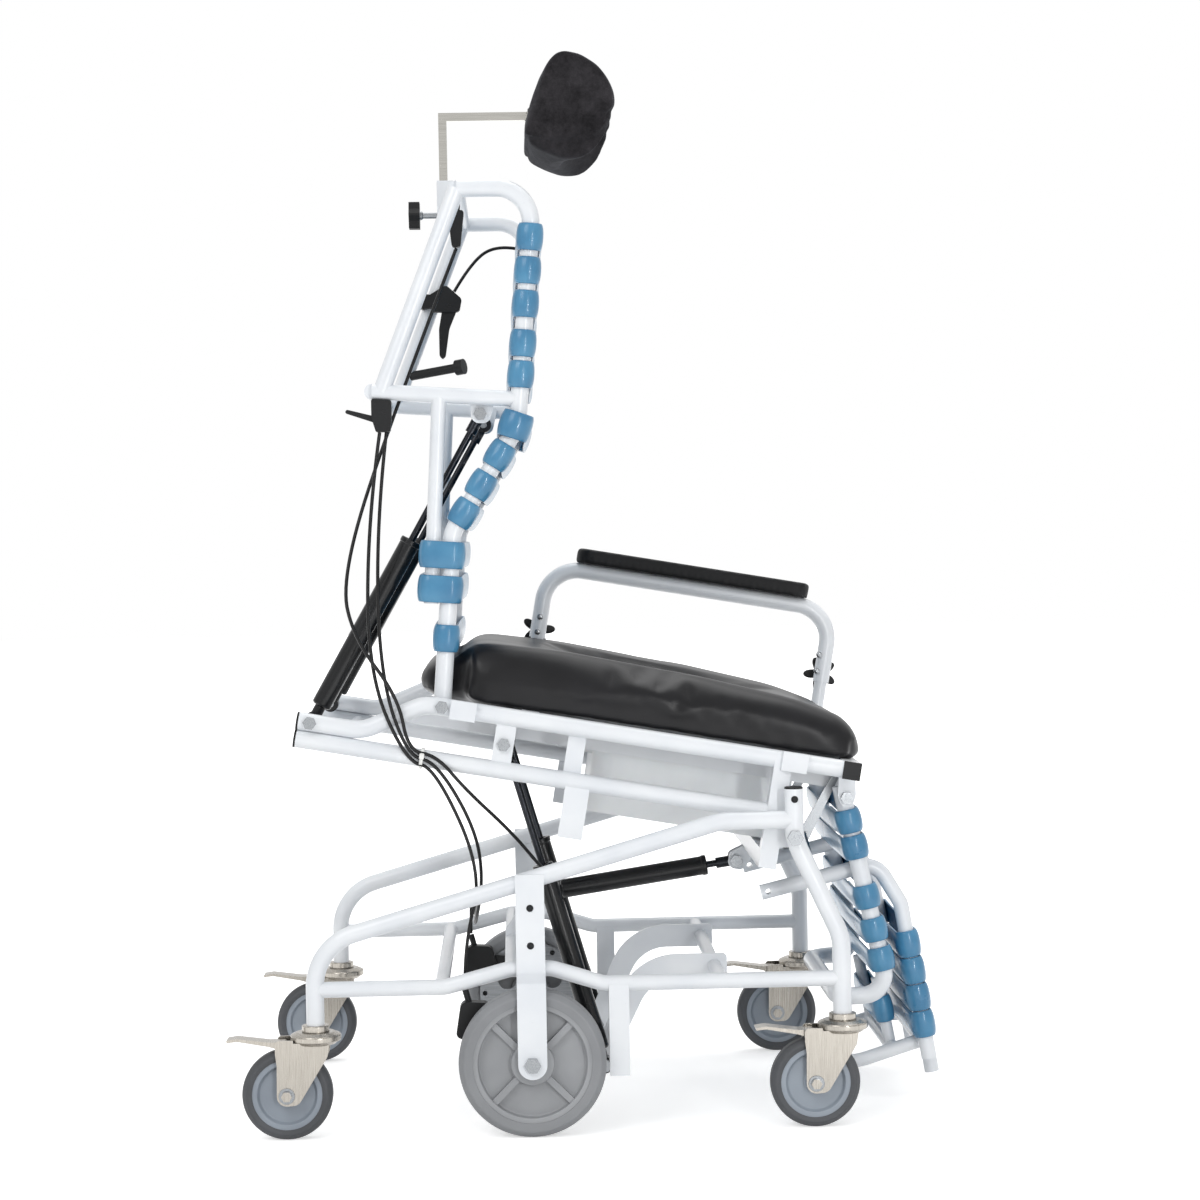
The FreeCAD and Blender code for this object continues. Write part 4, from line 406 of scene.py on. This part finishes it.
def back_straps():
    """The back's bands: up the top, on the slope, over the shoulder, two wide ones round the rear posts
    and one low.
    """
    bm = bmesh.new()
    rise = TOP_CORNER - SHOULDER
    places = [(centre, rise) for centre in spread(SHOULDER, TOP_CORNER, BACK_TOP_STRAPS)]
    slope = SHOULDER - WAIST
    places += [(centre, slope) for centre in spread(WAIST, SHOULDER, BACK_SLOPE_STRAPS)]
    for centre, along in places:
        strap_band(bm, centre, along, BACK_HALF, BACK_WRAP, STRAP_TALL)
    # The band at the shoulder lies over the bend, so it is wider and set back
    bend = slope.normalized() + rise.normalized()
    strap_band(bm, SHOULDER - SHOULDER_SHIFT, bend, BACK_HALF, BACK_WRAP + SHOULDER_SLACK, STRAP_TALL)
    upright = WAIST - BACK_FOOT
    for height in BACK_WIDE_STRAPS:
        z = height * MM
        front = BACK_FOOT + upright * ((z - BACK_FOOT.z) / upright.z)
        rear = POST_FOOT + (POST_TOP - POST_FOOT) * ((z - POST_FOOT.z) / (POST_TOP.z - POST_FOOT.z))
        strap_band(bm, (front + rear) / 2, upright, BACK_HALF, BACK_WRAP, STRAP_TALL,
                   depth=(front.x - rear.x) / 2 + MM)
    strap_band(bm, BACK_FOOT + upright * BACK_LOW_STRAP, upright, BACK_HALF, BACK_WRAP, STRAP_TALL)
    piece = new_piece("back_strap_bands", bm, blue_vinyl, "back")
    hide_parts("back_straps")


LEG_TOP = point(360, 461)
LEG_KNEE = point(424, 166)
LEG_HALF = 190 * MM
LEG_WRAP = 12.5 * MM + WRAP
CALF_TALL = 34 * MM
CALF_STRAPS = (414, 377, 306, 259, 217)


def calf_straps():
    """Five bands across the leg rest."""
    bm = bmesh.new()
    shin = LEG_TOP - LEG_KNEE
    for height in CALF_STRAPS:
        share = (height * MM - LEG_KNEE.z) / (LEG_TOP.z - LEG_KNEE.z)
        strap_band(bm, LEG_KNEE + shin * share, shin, LEG_HALF, LEG_WRAP, CALF_TALL)
    piece = new_piece("calf_strap_bands", bm, blue_vinyl, "legrest")
    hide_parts("calf_straps")


FOOT_ELBOW = point(447, 290)
FOOT_END = point(484, 70)
FOOT_HALF = 160 * MM
FOOT_WRAP = 11 * MM + WRAP
FOOT_STRAPS = (0.26, 0.435, 0.61, 0.785)
INNER_TOP = point(417, 176)
INNER_FOOT = point(436, 76)
INNER_HALF = 108 * MM
INNER_WRAP = 8.5 * MM + WRAP
INNER_STRAP = 0.55


def foot_straps():
    """Four bands across the foot rest's side tubes and one across its inner posts."""
    bm = bmesh.new()
    for centre in spread(FOOT_ELBOW, FOOT_END, FOOT_STRAPS):
        strap_band(bm, centre, FOOT_ELBOW - FOOT_END, FOOT_HALF, FOOT_WRAP, STRAP_TALL)
    inner = INNER_TOP - INNER_FOOT
    strap_band(bm, INNER_FOOT + inner * INNER_STRAP, inner, INNER_HALF, INNER_WRAP, STRAP_TALL)
    piece = new_piece("foot_strap_bands", bm, blue_vinyl, "footrest")
    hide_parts("foot_straps")


back_straps()
calf_straps()
foot_straps()

# Round fittings

TURN_STEPS = 28


def turned_piece(name, corners, centre, axis, material, body):
    """A round fitting: (radius, height) corners in millimetres spun about an axis through a point."""
    bm = bmesh.new()
    chain = [bm.verts.new((radius * MM, 0, height * MM)) for radius, height in corners]
    edges = [bm.edges.new(ends) for ends in zip(chain, chain[1:])]
    bmesh.ops.spin(bm, geom=chain + edges, cent=(0, 0, 0), axis=(0, 0, 1), angle=2 * math.pi,
                   steps=TURN_STEPS, use_merge=True)
    bmesh.ops.remove_doubles(bm, verts=bm.verts[:], dist=WELD)
    bmesh.ops.recalc_face_normals(bm, faces=bm.faces[:])
    turn = Vector((0, 0, 1)).rotation_difference(Vector(axis)).to_matrix().to_4x4()
    bmesh.ops.transform(bm, verts=bm.verts[:], matrix=Matrix.Translation(Vector(centre) * MM) @ turn)
    piece = new_piece(name, bm, material, body)
    piece.data.set_sharp_from_angle(angle=SHARP_ANGLE)


# Padded pieces

SWELL_FRAMES = 16


def evaluated(piece):
    """A piece's mesh with its modifiers or its bevel applied."""
    bpy.context.view_layer.update()
    graph = bpy.context.evaluated_depsgraph_get()
    return bpy.data.meshes.new_from_object(piece.evaluated_get(graph))


def bake(piece):
    """Apply a piece's modifiers to its mesh."""
    made = evaluated(piece)
    piece.modifiers.clear()
    old = piece.data
    piece.data = made
    bpy.data.meshes.remove(old)


def copy_of(node):
    """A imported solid's mesh, to work on."""
    bm = bmesh.new()
    bm.from_mesh(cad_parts[node].data)
    return bm


def remeshed(bm, name, voxel, rounds):
    """A soft solid as an even mesh, its edges rounded by smoothing."""
    mesh = bpy.data.meshes.new(name)
    bmesh.ops.remove_doubles(bm, verts=bm.verts[:], dist=WELD)
    bm.to_mesh(mesh)
    bm.free()
    piece = put(name, mesh)
    even = piece.modifiers.new("even", "REMESH")
    even.mode = "VOXEL"
    even.voxel_size = voxel
    bake(piece)
    bm = bmesh.new()
    bm.from_mesh(piece.data)
    for _ in range(rounds):
        bmesh.ops.smooth_vert(bm, verts=bm.verts[:], factor=0.5, use_axis_x=True, use_axis_y=True,
                              use_axis_z=True)
    bm.to_mesh(piece.data)
    bm.free()
    return piece


def puffed(piece, pressure, cap):
    """Swell a pad by cloth simulation under pressure, no point further than the cap."""
    scene = bpy.context.scene
    rest = [vert.co.copy() for vert in piece.data.vertices]
    cloth = piece.modifiers.new("swell", "CLOTH")
    cloth.settings.use_pressure = True
    cloth.settings.uniform_pressure_force = pressure
    cloth.settings.effector_weights.gravity = 0
    cloth.settings.tension_stiffness = 20
    cloth.settings.bending_stiffness = 4
    cloth.point_cache.frame_end = SWELL_FRAMES
    for number in range(1, SWELL_FRAMES + 1):
        scene.frame_set(number)
    bake(piece)
    for vert, start in zip(piece.data.vertices, rest):
        move = vert.co - start
        if move.length > cap:
            vert.co = start + move * (cap / move.length)
    scene.frame_set(1)


def dress(piece, material, body, node):
    """Finish a pad: smooth, subdivided, on its body in place of its solid."""
    piece.data.materials.clear()
    piece.data.materials.append(material)
    piece.data.polygons.foreach_set("use_smooth", [True] * len(piece.data.polygons))
    finer = piece.modifiers.new("finer", "SUBSURF")
    finer.levels = 1
    finer.render_levels = 1
    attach(piece, body)
    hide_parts(node)


SEAT_BASE_W = 114
SEAT_THICK = 88
SEAT_FULL = 0.94
SEAT_HALF = 238
SEAT_FRONT_U = 89
SEAT_REAR_U = -557
SEAT_ROUND = 50
SEAT_REAR_ROUND = 24
SEAT_REAR_SHARE = 0.55
SEAT_SIT = 3.5
SIT_RISE = 26
SIT_INSET = 16
SIT_PULL = 0.75
UPPER_W = 40
OPENING_U = -205
DISH_DEPTH = 16
DISH_WIDE = 120
DISH_LONG = 230
CHANNEL_DEPTH = 7
CHANNEL_Y = 110
CHANNEL_WIDE = 60
CHANNEL_LONG = 160


def seat_cushion():
    """Moulded seat: dished round the commode opening, with shallow leg channels at the front."""
    piece = remeshed(copy_of("seat_cushion"), "seat_cushion_cover", 7 * MM, 12)
    for vert in piece.data.vertices:
        u, y, w = in_seat(vert.co)
        lift = clamp((w - SEAT_BASE_W - UPPER_W) / UPPER_W)
        dish = DISH_DEPTH * bell(y, DISH_WIDE) * bell(u - OPENING_U, DISH_LONG)
        legs = bell(y - CHANNEL_Y, CHANNEL_WIDE) + bell(y + CHANNEL_Y, CHANNEL_WIDE)
        channels = CHANNEL_DEPTH * legs * clamp((u + CHANNEL_LONG) / CHANNEL_LONG)
        w -= lift * (dish + channels)
        near_side = max(0.0, 1 - (SEAT_HALF - abs(y)) / SEAT_ROUND)
        near_front = max(0.0, 1 - (SEAT_FRONT_U - u) / SEAT_ROUND)
        near_rear = SEAT_REAR_SHARE * max(0.0, 1 - (u - SEAT_REAR_U) / SEAT_REAR_ROUND)
        left = max(0.0, 1 - near_side ** 2 - near_front ** 2 - near_rear ** 2)
        drop = SEAT_ROUND * (1 - math.sqrt(left))
        w = SEAT_BASE_W + (w - SEAT_BASE_W) * (SEAT_FULL - drop / SEAT_THICK)
        # The underside's edge stays square, so that the pad sits down on the rails
        low = max(0.0, 1 - (w - SEAT_BASE_W) / SIT_RISE)
        w -= low * SEAT_SIT
        inset = SEAT_HALF - abs(y)
        if inset < SIT_INSET:
            y += math.copysign(low * inset * SIT_PULL, y)
        vert.co = on_seat(u, y, w)
    puffed(piece, 3.0, 6 * MM)
    dress(piece, black_vinyl, "seat", "seat_cushion")


UPPER_PAD = ((-74, 1401), (-65, 1433), (-51, 1474), (-37, 1510), (-25, 1523), (-9, 1525), (11, 1520),
             (35, 1504), (50, 1484), (59, 1462), (59, 1445), (54, 1427), (43, 1412), (29, 1403), (5, 1396),
             (-21, 1394), (-45, 1396))
NECK_ROLL = ((-71, 1411), (-73, 1402), (-64, 1391), (-43, 1380), (-21, 1372), (-7, 1369), (11, 1370),
             (25, 1378), (39, 1392), (46, 1406), (48, 1416), (35, 1426), (-20, 1424), (-56, 1418))
HEAD_HALF = 120
NECK_HALF = 106
HOLLOW_X = -45
HOLLOW_LONG = 80
HOLLOW_DEPTH = 46
HOLLOW_HALF = 100
CREASE_X = -21
CREASE_Z = 1394
CREASE_DEPTH = 3
CREASE_WIDE = 4.5
CREASE_BEND_AHEAD = 0.0071
CREASE_BEND_BEHIND = 0.0023
HEAD_SOCKET = ((0, 14.5), (6.5, 11.5), (9.4, 6), (9.6, 4), (8.8, 0), (11, 0), (15, 5), (17, 12), (17, 22),
               (0, 22))
SOCKET_PLACE = (-66, 0, 1447)


def side_prism(bm, outline, half):
    """A closed solid from a side outline, as wide as twice the half width."""
    face = bm.faces.new([bm.verts.new((x * MM, -half * MM, z * MM)) for x, z in outline])
    made = bmesh.ops.extrude_face_region(bm, geom=[face], use_keep_orig=True)["geom"]
    bmesh.ops.translate(bm, verts=verts_of(made), vec=(0, 2 * half * MM, 0))


def headrest_pad():
    """Contoured headrest: a pad hollowed between two wings, set over a neck roll, with a ball socket."""
    bm = bmesh.new()
    side_prism(bm, UPPER_PAD, HEAD_HALF)
    side_prism(bm, NECK_ROLL, NECK_HALF)
    bmesh.ops.recalc_face_normals(bm, faces=bm.faces[:])
    piece = remeshed(bm, "headrest_cover", 4 * MM, 14)
    normals = [vert.normal.copy() for vert in piece.data.vertices]
    for vert, normal in zip(piece.data.vertices, normals):
        x, y, z = vert.co / MM
        ahead = clamp((x - HOLLOW_X) / HOLLOW_LONG)
        x -= ahead * HOLLOW_DEPTH * max(0.0, 1 - (y / HOLLOW_HALF) ** 2)
        bend = CREASE_BEND_AHEAD if x > CREASE_X else CREASE_BEND_BEHIND
        crease = CREASE_Z + bend * (x - CREASE_X) ** 2
        vert.co = Vector((x, y, z)) * MM - normal * (CREASE_DEPTH * MM * bell(z - crease, CREASE_WIDE))
    puffed(piece, 2.0, 4 * MM)
    dress(piece, black_pile, "headrest_pad", "headrest_pad")
    turned_piece("head_socket", HEAD_SOCKET, SOCKET_PLACE, (1, 0, 0), black_abs, "headrest_pad")


ARM_PLANE = 274
ARM_RIB_W = 333
ARM_RIB_TALL = 6
ARM_RIB_PITCH = 22
ARM_RIB_DEPTH = 1.2
ARM_RIB_START = 20


def armrest_pad():
    """Skinned foam pad with finger ribs along its lower edges."""
    piece = remeshed(copy_of("armrest_pad"), "armrest_cover", 4 * MM, 4)
    for vert in piece.data.vertices:
        u, y, w = in_seat(vert.co)
        low_edge = bell(w - ARM_RIB_W, ARM_RIB_TALL)
        ribs = ARM_RIB_DEPTH * math.cos(2 * math.pi * u / ARM_RIB_PITCH) * low_edge
        off_plane = y - ARM_PLANE
        y += math.copysign(ribs, off_plane) * min(1.0, abs(off_plane) / ARM_RIB_START)
        vert.co = on_seat(u, y, w)
    dress(piece, arm_foam, "armrest", "armrest_pad")


seat_cushion()
headrest_pad()
armrest_pad()

# Control cables

CABLE_D = 5 * MM
CABLE_GAP = 0.4
RAIL_Y = 248
RAIL_R = 12.5
RAIL_W = 26
TIE_U = -528
TIE_PITCH = 8
TIE_STRAIGHT = 20
BARREL = (-178, -264.5, 200)


def at_tie(offset):
    """A cable's three points beside the lower seat rail: before, in and after the tie."""
    beside = -(RAIL_Y + RAIL_R + CABLE_D / MM / 2 + CABLE_GAP)
    along = (TIE_U - TIE_STRAIGHT, TIE_U, TIE_U + TIE_STRAIGHT)
    return [on_seat(u, beside, RAIL_W + offset) for u in along]


def mm(*places):
    """Points given in millimetres, in metres."""
    return [Vector(place) * MM for place in places]


def cable(name, points, parent, child=None):
    """A sheathed cable on one smooth curve, riding on the first body; given a second body, it stays where it
    lies in the chair's frame, on no body.
    """
    curve = bpy.data.curves.new(name + "_route", "CURVE")
    curve.dimensions = "3D"
    spline = curve.splines.new("NURBS")
    spline.points.add(len(points) - 1)
    for knot, place in zip(spline.points, points):
        knot.co = (*place, 1)
    spline.order_u = 3
    spline.use_endpoint_u = True
    spline.resolution_u = 10
    route = put(name + "_route", curve)
    line = evaluated(route)
    bpy.data.meshes.remove(line)
    curve.bevel_depth = CABLE_D / 2
    curve.bevel_resolution = 3
    curve.use_fill_caps = True
    mesh = evaluated(route)
    bpy.data.objects.remove(route)
    bpy.data.curves.remove(curve)
    mesh.materials.clear()
    mesh.materials.append(cable_pvc)
    mesh.polygons.foreach_set("use_smooth", [True] * len(mesh.polygons))
    piece = put(name, mesh)
    if child:
        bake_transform(piece)
    else:
        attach(piece, parent)
    return piece


def control_cables():
    """Brake cables from the lower lever, the spring cable from the splitter and the grip's arc."""
    in_right, mid_right, out_right = at_tie(-TIE_PITCH)
    in_left, mid_left, out_left = at_tie(0)
    in_spring, mid_spring, out_spring = at_tie(TIE_PITCH)
    x, y, z = BARREL
    first = cable("brake_cable_right_upper",
                  mm((-283, -224, 975.6), (-302, -232, 850), (-304, -265.5, 640)) + [in_right, mid_right],
                  "back", "seat")
    cable("brake_cable_right_lower",
          [mid_right, out_right] + mm((-150, -262, 360), (x, y, z + 60), BARREL), "seat", "base")
    cable("brake_cable_left_upper",
          mm((-274, -216, 975.6), (-290, -226, 850), (-288, -265.5, 640)) + [in_left, mid_left],
          "back", "seat")
    cable("brake_cable_left_lower",
          [mid_left, out_left] + mm((-160, -262, 424), (-150, -225, 345), (-166, -150, 262), (-166, 150, 262),
                                    (x, -y, z + 70), (x, -y, z)), "seat", "base")
    cable("spring_cable_upper",
          mm((-172, -168, 1236.8), (-282, -196, 960), (-340, -240, 770), (-322, -276, 690), (-262, -270, 606))
          + [in_spring, mid_spring], "back", "seat")
    cable("spring_cable_lower",
          [mid_spring, out_spring] + mm((-172, -262, 476), (-110, -222, 412), (-68, -206, 358),
                                        (-67.5, -185.4, 357)), "seat", "base")
    cable("grip_cable",
          mm((-183.4, 196, 1207.7), (-154, 196, 1256), (-114, 206, 1280), (-80.6, 219, 1274)), "back")
    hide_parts("control_cables")


TIE_SEGMENTS = 40
TIE_R = 13.4 * MM
TIE_BULGE = 5.6 * MM
TIE_WIDE = 4.6 * MM
TIE_WALL = 1.3 * MM
TIE_HEAD = Vector((5, 7, 6.5)) * MM
TIE_HEAD_PLACE = Vector((-21.5, 4, 2.3)) * MM


def cable_tie():
    """White nylon tie that holds the three cables to the lower seat rail."""
    bm = bmesh.new()
    ring = bmesh.ops.create_circle(bm, cap_ends=False, segments=TIE_SEGMENTS, radius=TIE_R)["verts"]
    for vert in ring:
        if vert.co.x < 0:
            vert.co.x -= TIE_BULGE
    made = bmesh.ops.extrude_edge_only(bm, edges=bm.edges[:])["geom"]
    bmesh.ops.translate(bm, verts=verts_of(made), vec=(0, 0, TIE_WIDE))
    bmesh.ops.recalc_face_normals(bm, faces=bm.faces[:])
    bmesh.ops.solidify(bm, geom=bm.faces[:], thickness=-TIE_WALL)
    head = bmesh.ops.create_cube(bm, size=1)["verts"]
    bmesh.ops.scale(bm, verts=head, vec=TIE_HEAD)
    bmesh.ops.translate(bm, verts=head, vec=TIE_HEAD_PLACE)
    bmesh.ops.recalc_face_normals(bm, faces=bm.faces[:])
    along_rail = Matrix((Vector((0, 1, 0)), Vector((0, 0, 1)), Vector((1, 0, 0)))).transposed()
    turn = (FROM_SEAT @ along_rail).to_4x4()
    place = Matrix.Translation(on_seat(TIE_U - TIE_WIDE / MM / 2, -RAIL_Y, RAIL_W))
    bmesh.ops.transform(bm, verts=bm.verts[:], matrix=place @ turn)
    new_piece("white_cable_tie", bm, nylon, "seat", smooth=False)


control_cables()
cable_tie()

# Small fittings

KNOB_REACH = 27
KNOB_WAIST = 12
KNOB_LOBES = 5
KNOB_BLUNT = 0.85
KNOB_SEGMENTS = 80
KNOB_THICK = 12 * MM
KNOB_EDGE = 2.2 * MM


def star_knob(name, node, centre, first):
    """A five-lobed clamp knob behind the arm rest's tube, turning about the line across the chair."""
    bm = bmesh.new()
    rim = bmesh.ops.create_circle(bm, cap_ends=True, segments=KNOB_SEGMENTS, radius=1)["verts"]
    for vert in rim:
        angle = math.atan2(vert.co.y, vert.co.x)
        lobe = (0.5 + 0.5 * math.cos(KNOB_LOBES * (angle - first))) ** KNOB_BLUNT
        vert.co *= (KNOB_WAIST + (KNOB_REACH - KNOB_WAIST) * lobe) * MM
    made = bmesh.ops.extrude_face_region(bm, geom=bm.faces[:], use_keep_orig=True)["geom"]
    bmesh.ops.translate(bm, verts=verts_of(made), vec=(0, 0, KNOB_THICK))
    bmesh.ops.recalc_face_normals(bm, faces=bm.faces[:])
    ends = [edge for edge in bm.edges if abs(edge.verts[0].co.z - edge.verts[1].co.z) < MM]
    bmesh.ops.bevel(bm, geom=ends, offset=KNOB_EDGE, affect="EDGES", segments=3, profile=0.5, material=-1)
    turn = Matrix(((1, 0, 0), (0, 0, 1), (0, 1, 0))).to_4x4()
    bmesh.ops.transform(bm, verts=bm.verts[:], matrix=Matrix.Translation(Vector(centre) * MM) @ turn)
    bmesh.ops.recalc_face_normals(bm, faces=bm.faces[:])
    piece = new_piece(name, bm, black_abs, node)
    piece.data.set_sharp_from_angle(angle=SHARP_ANGLE)
    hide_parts(node)


SIDES = (("right", -1), ("left", 1))
CASTERS = ("rear_right", "rear_left", "front_right", "front_left")
FORK_HALF = 21.5
AXLE_BOLT = ((0, 5.5), (4, 5.6), (7.4, 5), (7.6, 1.6), (11, 1.5), (11.4, 0.8), (11.4, -0.5), (0, -0.5))
HEAD_STEM = ((0, 0), (6.5, 0), (6.5, 3), (4.5, 5), (4.5, 29), (0, 29))
HEAD_STEM_START = 16
# Black domes for the small dark holes in the wheel plates and the base's front posts: painted shade of the
# holes
HOLE_SHADE_DOME = ((0, 2.6), (2.6, 2.4), (4.2, 1.6), (5, 0.2), (5, 0), (0, 0))
PLATE_HOLE_SHADES = ((-86, 302.9, 314), (-86, 302.9, 262))
POST_HOLE_SHADE = (283, 297.6, 456)
PAN_HEAD = ((0, 1.6), (1.2, 1.6), (1.6, 2.8), (3.4, 2.6), (4.6, 1.6), (4.8, 0), (4.8, -2), (0, -2))
ARM_SCREWS = ((-59.5, 261.8, 699), (-64, 261.8, 675.5), (381.5, 261.8, 630.5), (377.5, 261.8, 605))
PAD_SCREWS = ((65.5, 276.5, 754), (292.5, 276.5, 711))


def small_fittings():
    """The caster axles' bolts, the head knob's bright stem, the arm rest's screws, and black domes in the
    small holes of the wheel plates and the base's front posts, as painted shade of those holes.
    """
    for place in CASTERS:
        low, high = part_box(f"caster_core_{place}")
        x, y, z = (low + high) / 2 / MM
        for end, sign in SIDES:
            turned_piece(f"axle_bolt_{place}_{end}", AXLE_BOLT, (x, y + sign * FORK_HALF, z), (0, sign, 0),
                         zinc, f"caster_fork_{place}")
    low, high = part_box("headrest_knob")
    stem = (low.x / MM + HEAD_STEM_START, 0, (low.z + high.z) / 2 / MM)
    turned_piece("head_knob_stem", HEAD_STEM, stem, (1, 0, 0), zinc, "headrest_knob")
    # Black domes in the plates' and front posts' holes: painted shade where the holes are dark
    for side, sign in SIDES:
        for number, (x, y, z) in enumerate(PLATE_HOLE_SHADES):
            turned_piece(f"plate_hole_shade_{side}_{number}", HOLE_SHADE_DOME, (x, sign * y, z), (0, sign, 0),
                         black_abs, "base")
        x, y, z = POST_HOLE_SHADE
        turned_piece(f"post_hole_shade_{side}", HOLE_SHADE_DOME, (x, sign * y, z), (0, sign, 0), black_abs, "base")
    for number, place in enumerate(ARM_SCREWS):
        turned_piece(f"arm_screw_{number}", PAN_HEAD, place, (0, -1, 0), zinc, "armrest")
    down = (-math.sin(SEAT_PITCH), 0, -math.cos(SEAT_PITCH))
    for number, place in enumerate(PAD_SCREWS):
        turned_piece(f"pad_screw_{number}", PAN_HEAD, place, down, zinc, "armrest")


star_knob("star_knob_rear", "armrest_knob_rear", (-62.5, 292.5, 678.1), 0.0)
star_knob("star_knob_front", "armrest_knob_front", (386.6, 292.5, 598.9), math.pi)
small_fittings()

# Stage and light

WHITE = (1, 1, 1, 1)
LAMPS = (("key", (-1.8, -2.6, 2.9), (1.8, 1.8), 36),
         ("streak", (1.35, -3.9, 1.0), (0.12, 1.9), 36),
         ("top", (0.4, 0.8, 3.4), (2.2, 2.2), 34))
LAMP_TARGET = Vector((0, 0, 0.7))


def seen_rays(tree):
    """One for rays from the eye, in reflections and through clear parts, nought for rays that only light."""
    rays = add(tree, "ShaderNodeLightPath")
    clear = add(tree, "ShaderNodeMath", {"operation": "MAXIMUM"},
                {0: rays.outputs["Is Glossy Ray"], 1: rays.outputs["Is Transmission Ray"]})
    seen = add(tree, "ShaderNodeMath", {"operation": "MAXIMUM"},
               {0: rays.outputs["Is Camera Ray"], 1: clear.outputs[0]})
    return seen.outputs[0]


def studio_floor():
    """Pale paper that keeps the shadow under the chair and glows to white further out."""
    bm = bmesh.new()
    bmesh.ops.create_grid(bm, x_segments=1, y_segments=1, size=20)
    mesh = bpy.data.meshes.new("studio_floor")
    bm.to_mesh(mesh)
    bm.free()
    floor = put("studio_floor", mesh)
    material = bpy.data.materials.new("pale_studio_paper")
    tree = bare_tree(material)
    paper = add(tree, "ShaderNodeBsdfDiffuse", {"Color": linear("#f4f4f4")})
    where = add(tree, "ShaderNodeTexCoord")
    reach = add(tree, "ShaderNodeVectorMath", {"operation": "LENGTH"}, {0: where.outputs["Object"]})
    fade = add(tree, "ShaderNodeMapRange", {"From Min": 0.7, "From Max": 1.6, "To Min": 0.5, "To Max": 1.0},
               {"Value": reach.outputs["Value"]})
    glow = add(tree, "ShaderNodeMath", {"operation": "MULTIPLY"},
               {0: seen_rays(tree), 1: fade.outputs["Result"]})
    light = add(tree, "ShaderNodeEmission", {"Color": WHITE}, {"Strength": glow.outputs[0]})
    both = add(tree, "ShaderNodeAddShader", links={0: paper.outputs[0], 1: light.outputs[0]})
    add(tree, "ShaderNodeOutputMaterial", links={"Surface": both.outputs[0]})
    mesh.materials.append(material)


def studio_world():
    """White where it is seen; as light it is dimmer, and brightest overhead."""
    world = bpy.data.worlds.new("studio_world")
    bpy.context.scene.world = world
    tree = bare_tree(world)
    where = add(tree, "ShaderNodeTexCoord")
    parts = add(tree, "ShaderNodeSeparateXYZ", links={"Vector": where.outputs["Generated"]})
    dome = add(tree, "ShaderNodeMapRange",
               {"From Min": -0.6, "From Max": 0.9, "To Min": 0.24, "To Max": 0.74},
               {"Value": parts.outputs["Z"]})
    level = add(tree, "ShaderNodeMapRange", {"To Max": 1.0},
                {"Value": seen_rays(tree), "To Min": dome.outputs["Result"]})
    sky = add(tree, "ShaderNodeBackground", {"Color": WHITE}, {"Strength": level.outputs["Result"]})
    add(tree, "ShaderNodeOutputWorld", links={"Surface": sky.outputs[0]})


def studio_lamps():
    """A broad key light, a narrow tall one that draws a streak on the bands, and one overhead."""
    for name, place, (wide, tall), watts in LAMPS:
        data = bpy.data.lights.new(name, "AREA")
        data.shape = "RECTANGLE"
        data.size = wide
        data.size_y = tall
        data.energy = watts
        lamp = put(name, data)
        lamp.location = place
        lamp.rotation_euler = (LAMP_TARGET - Vector(place)).to_track_quat("-Z", "Y").to_euler()


studio_floor()
studio_world()
studio_lamps()
bpy.context.scene.view_settings.view_transform = "Standard"
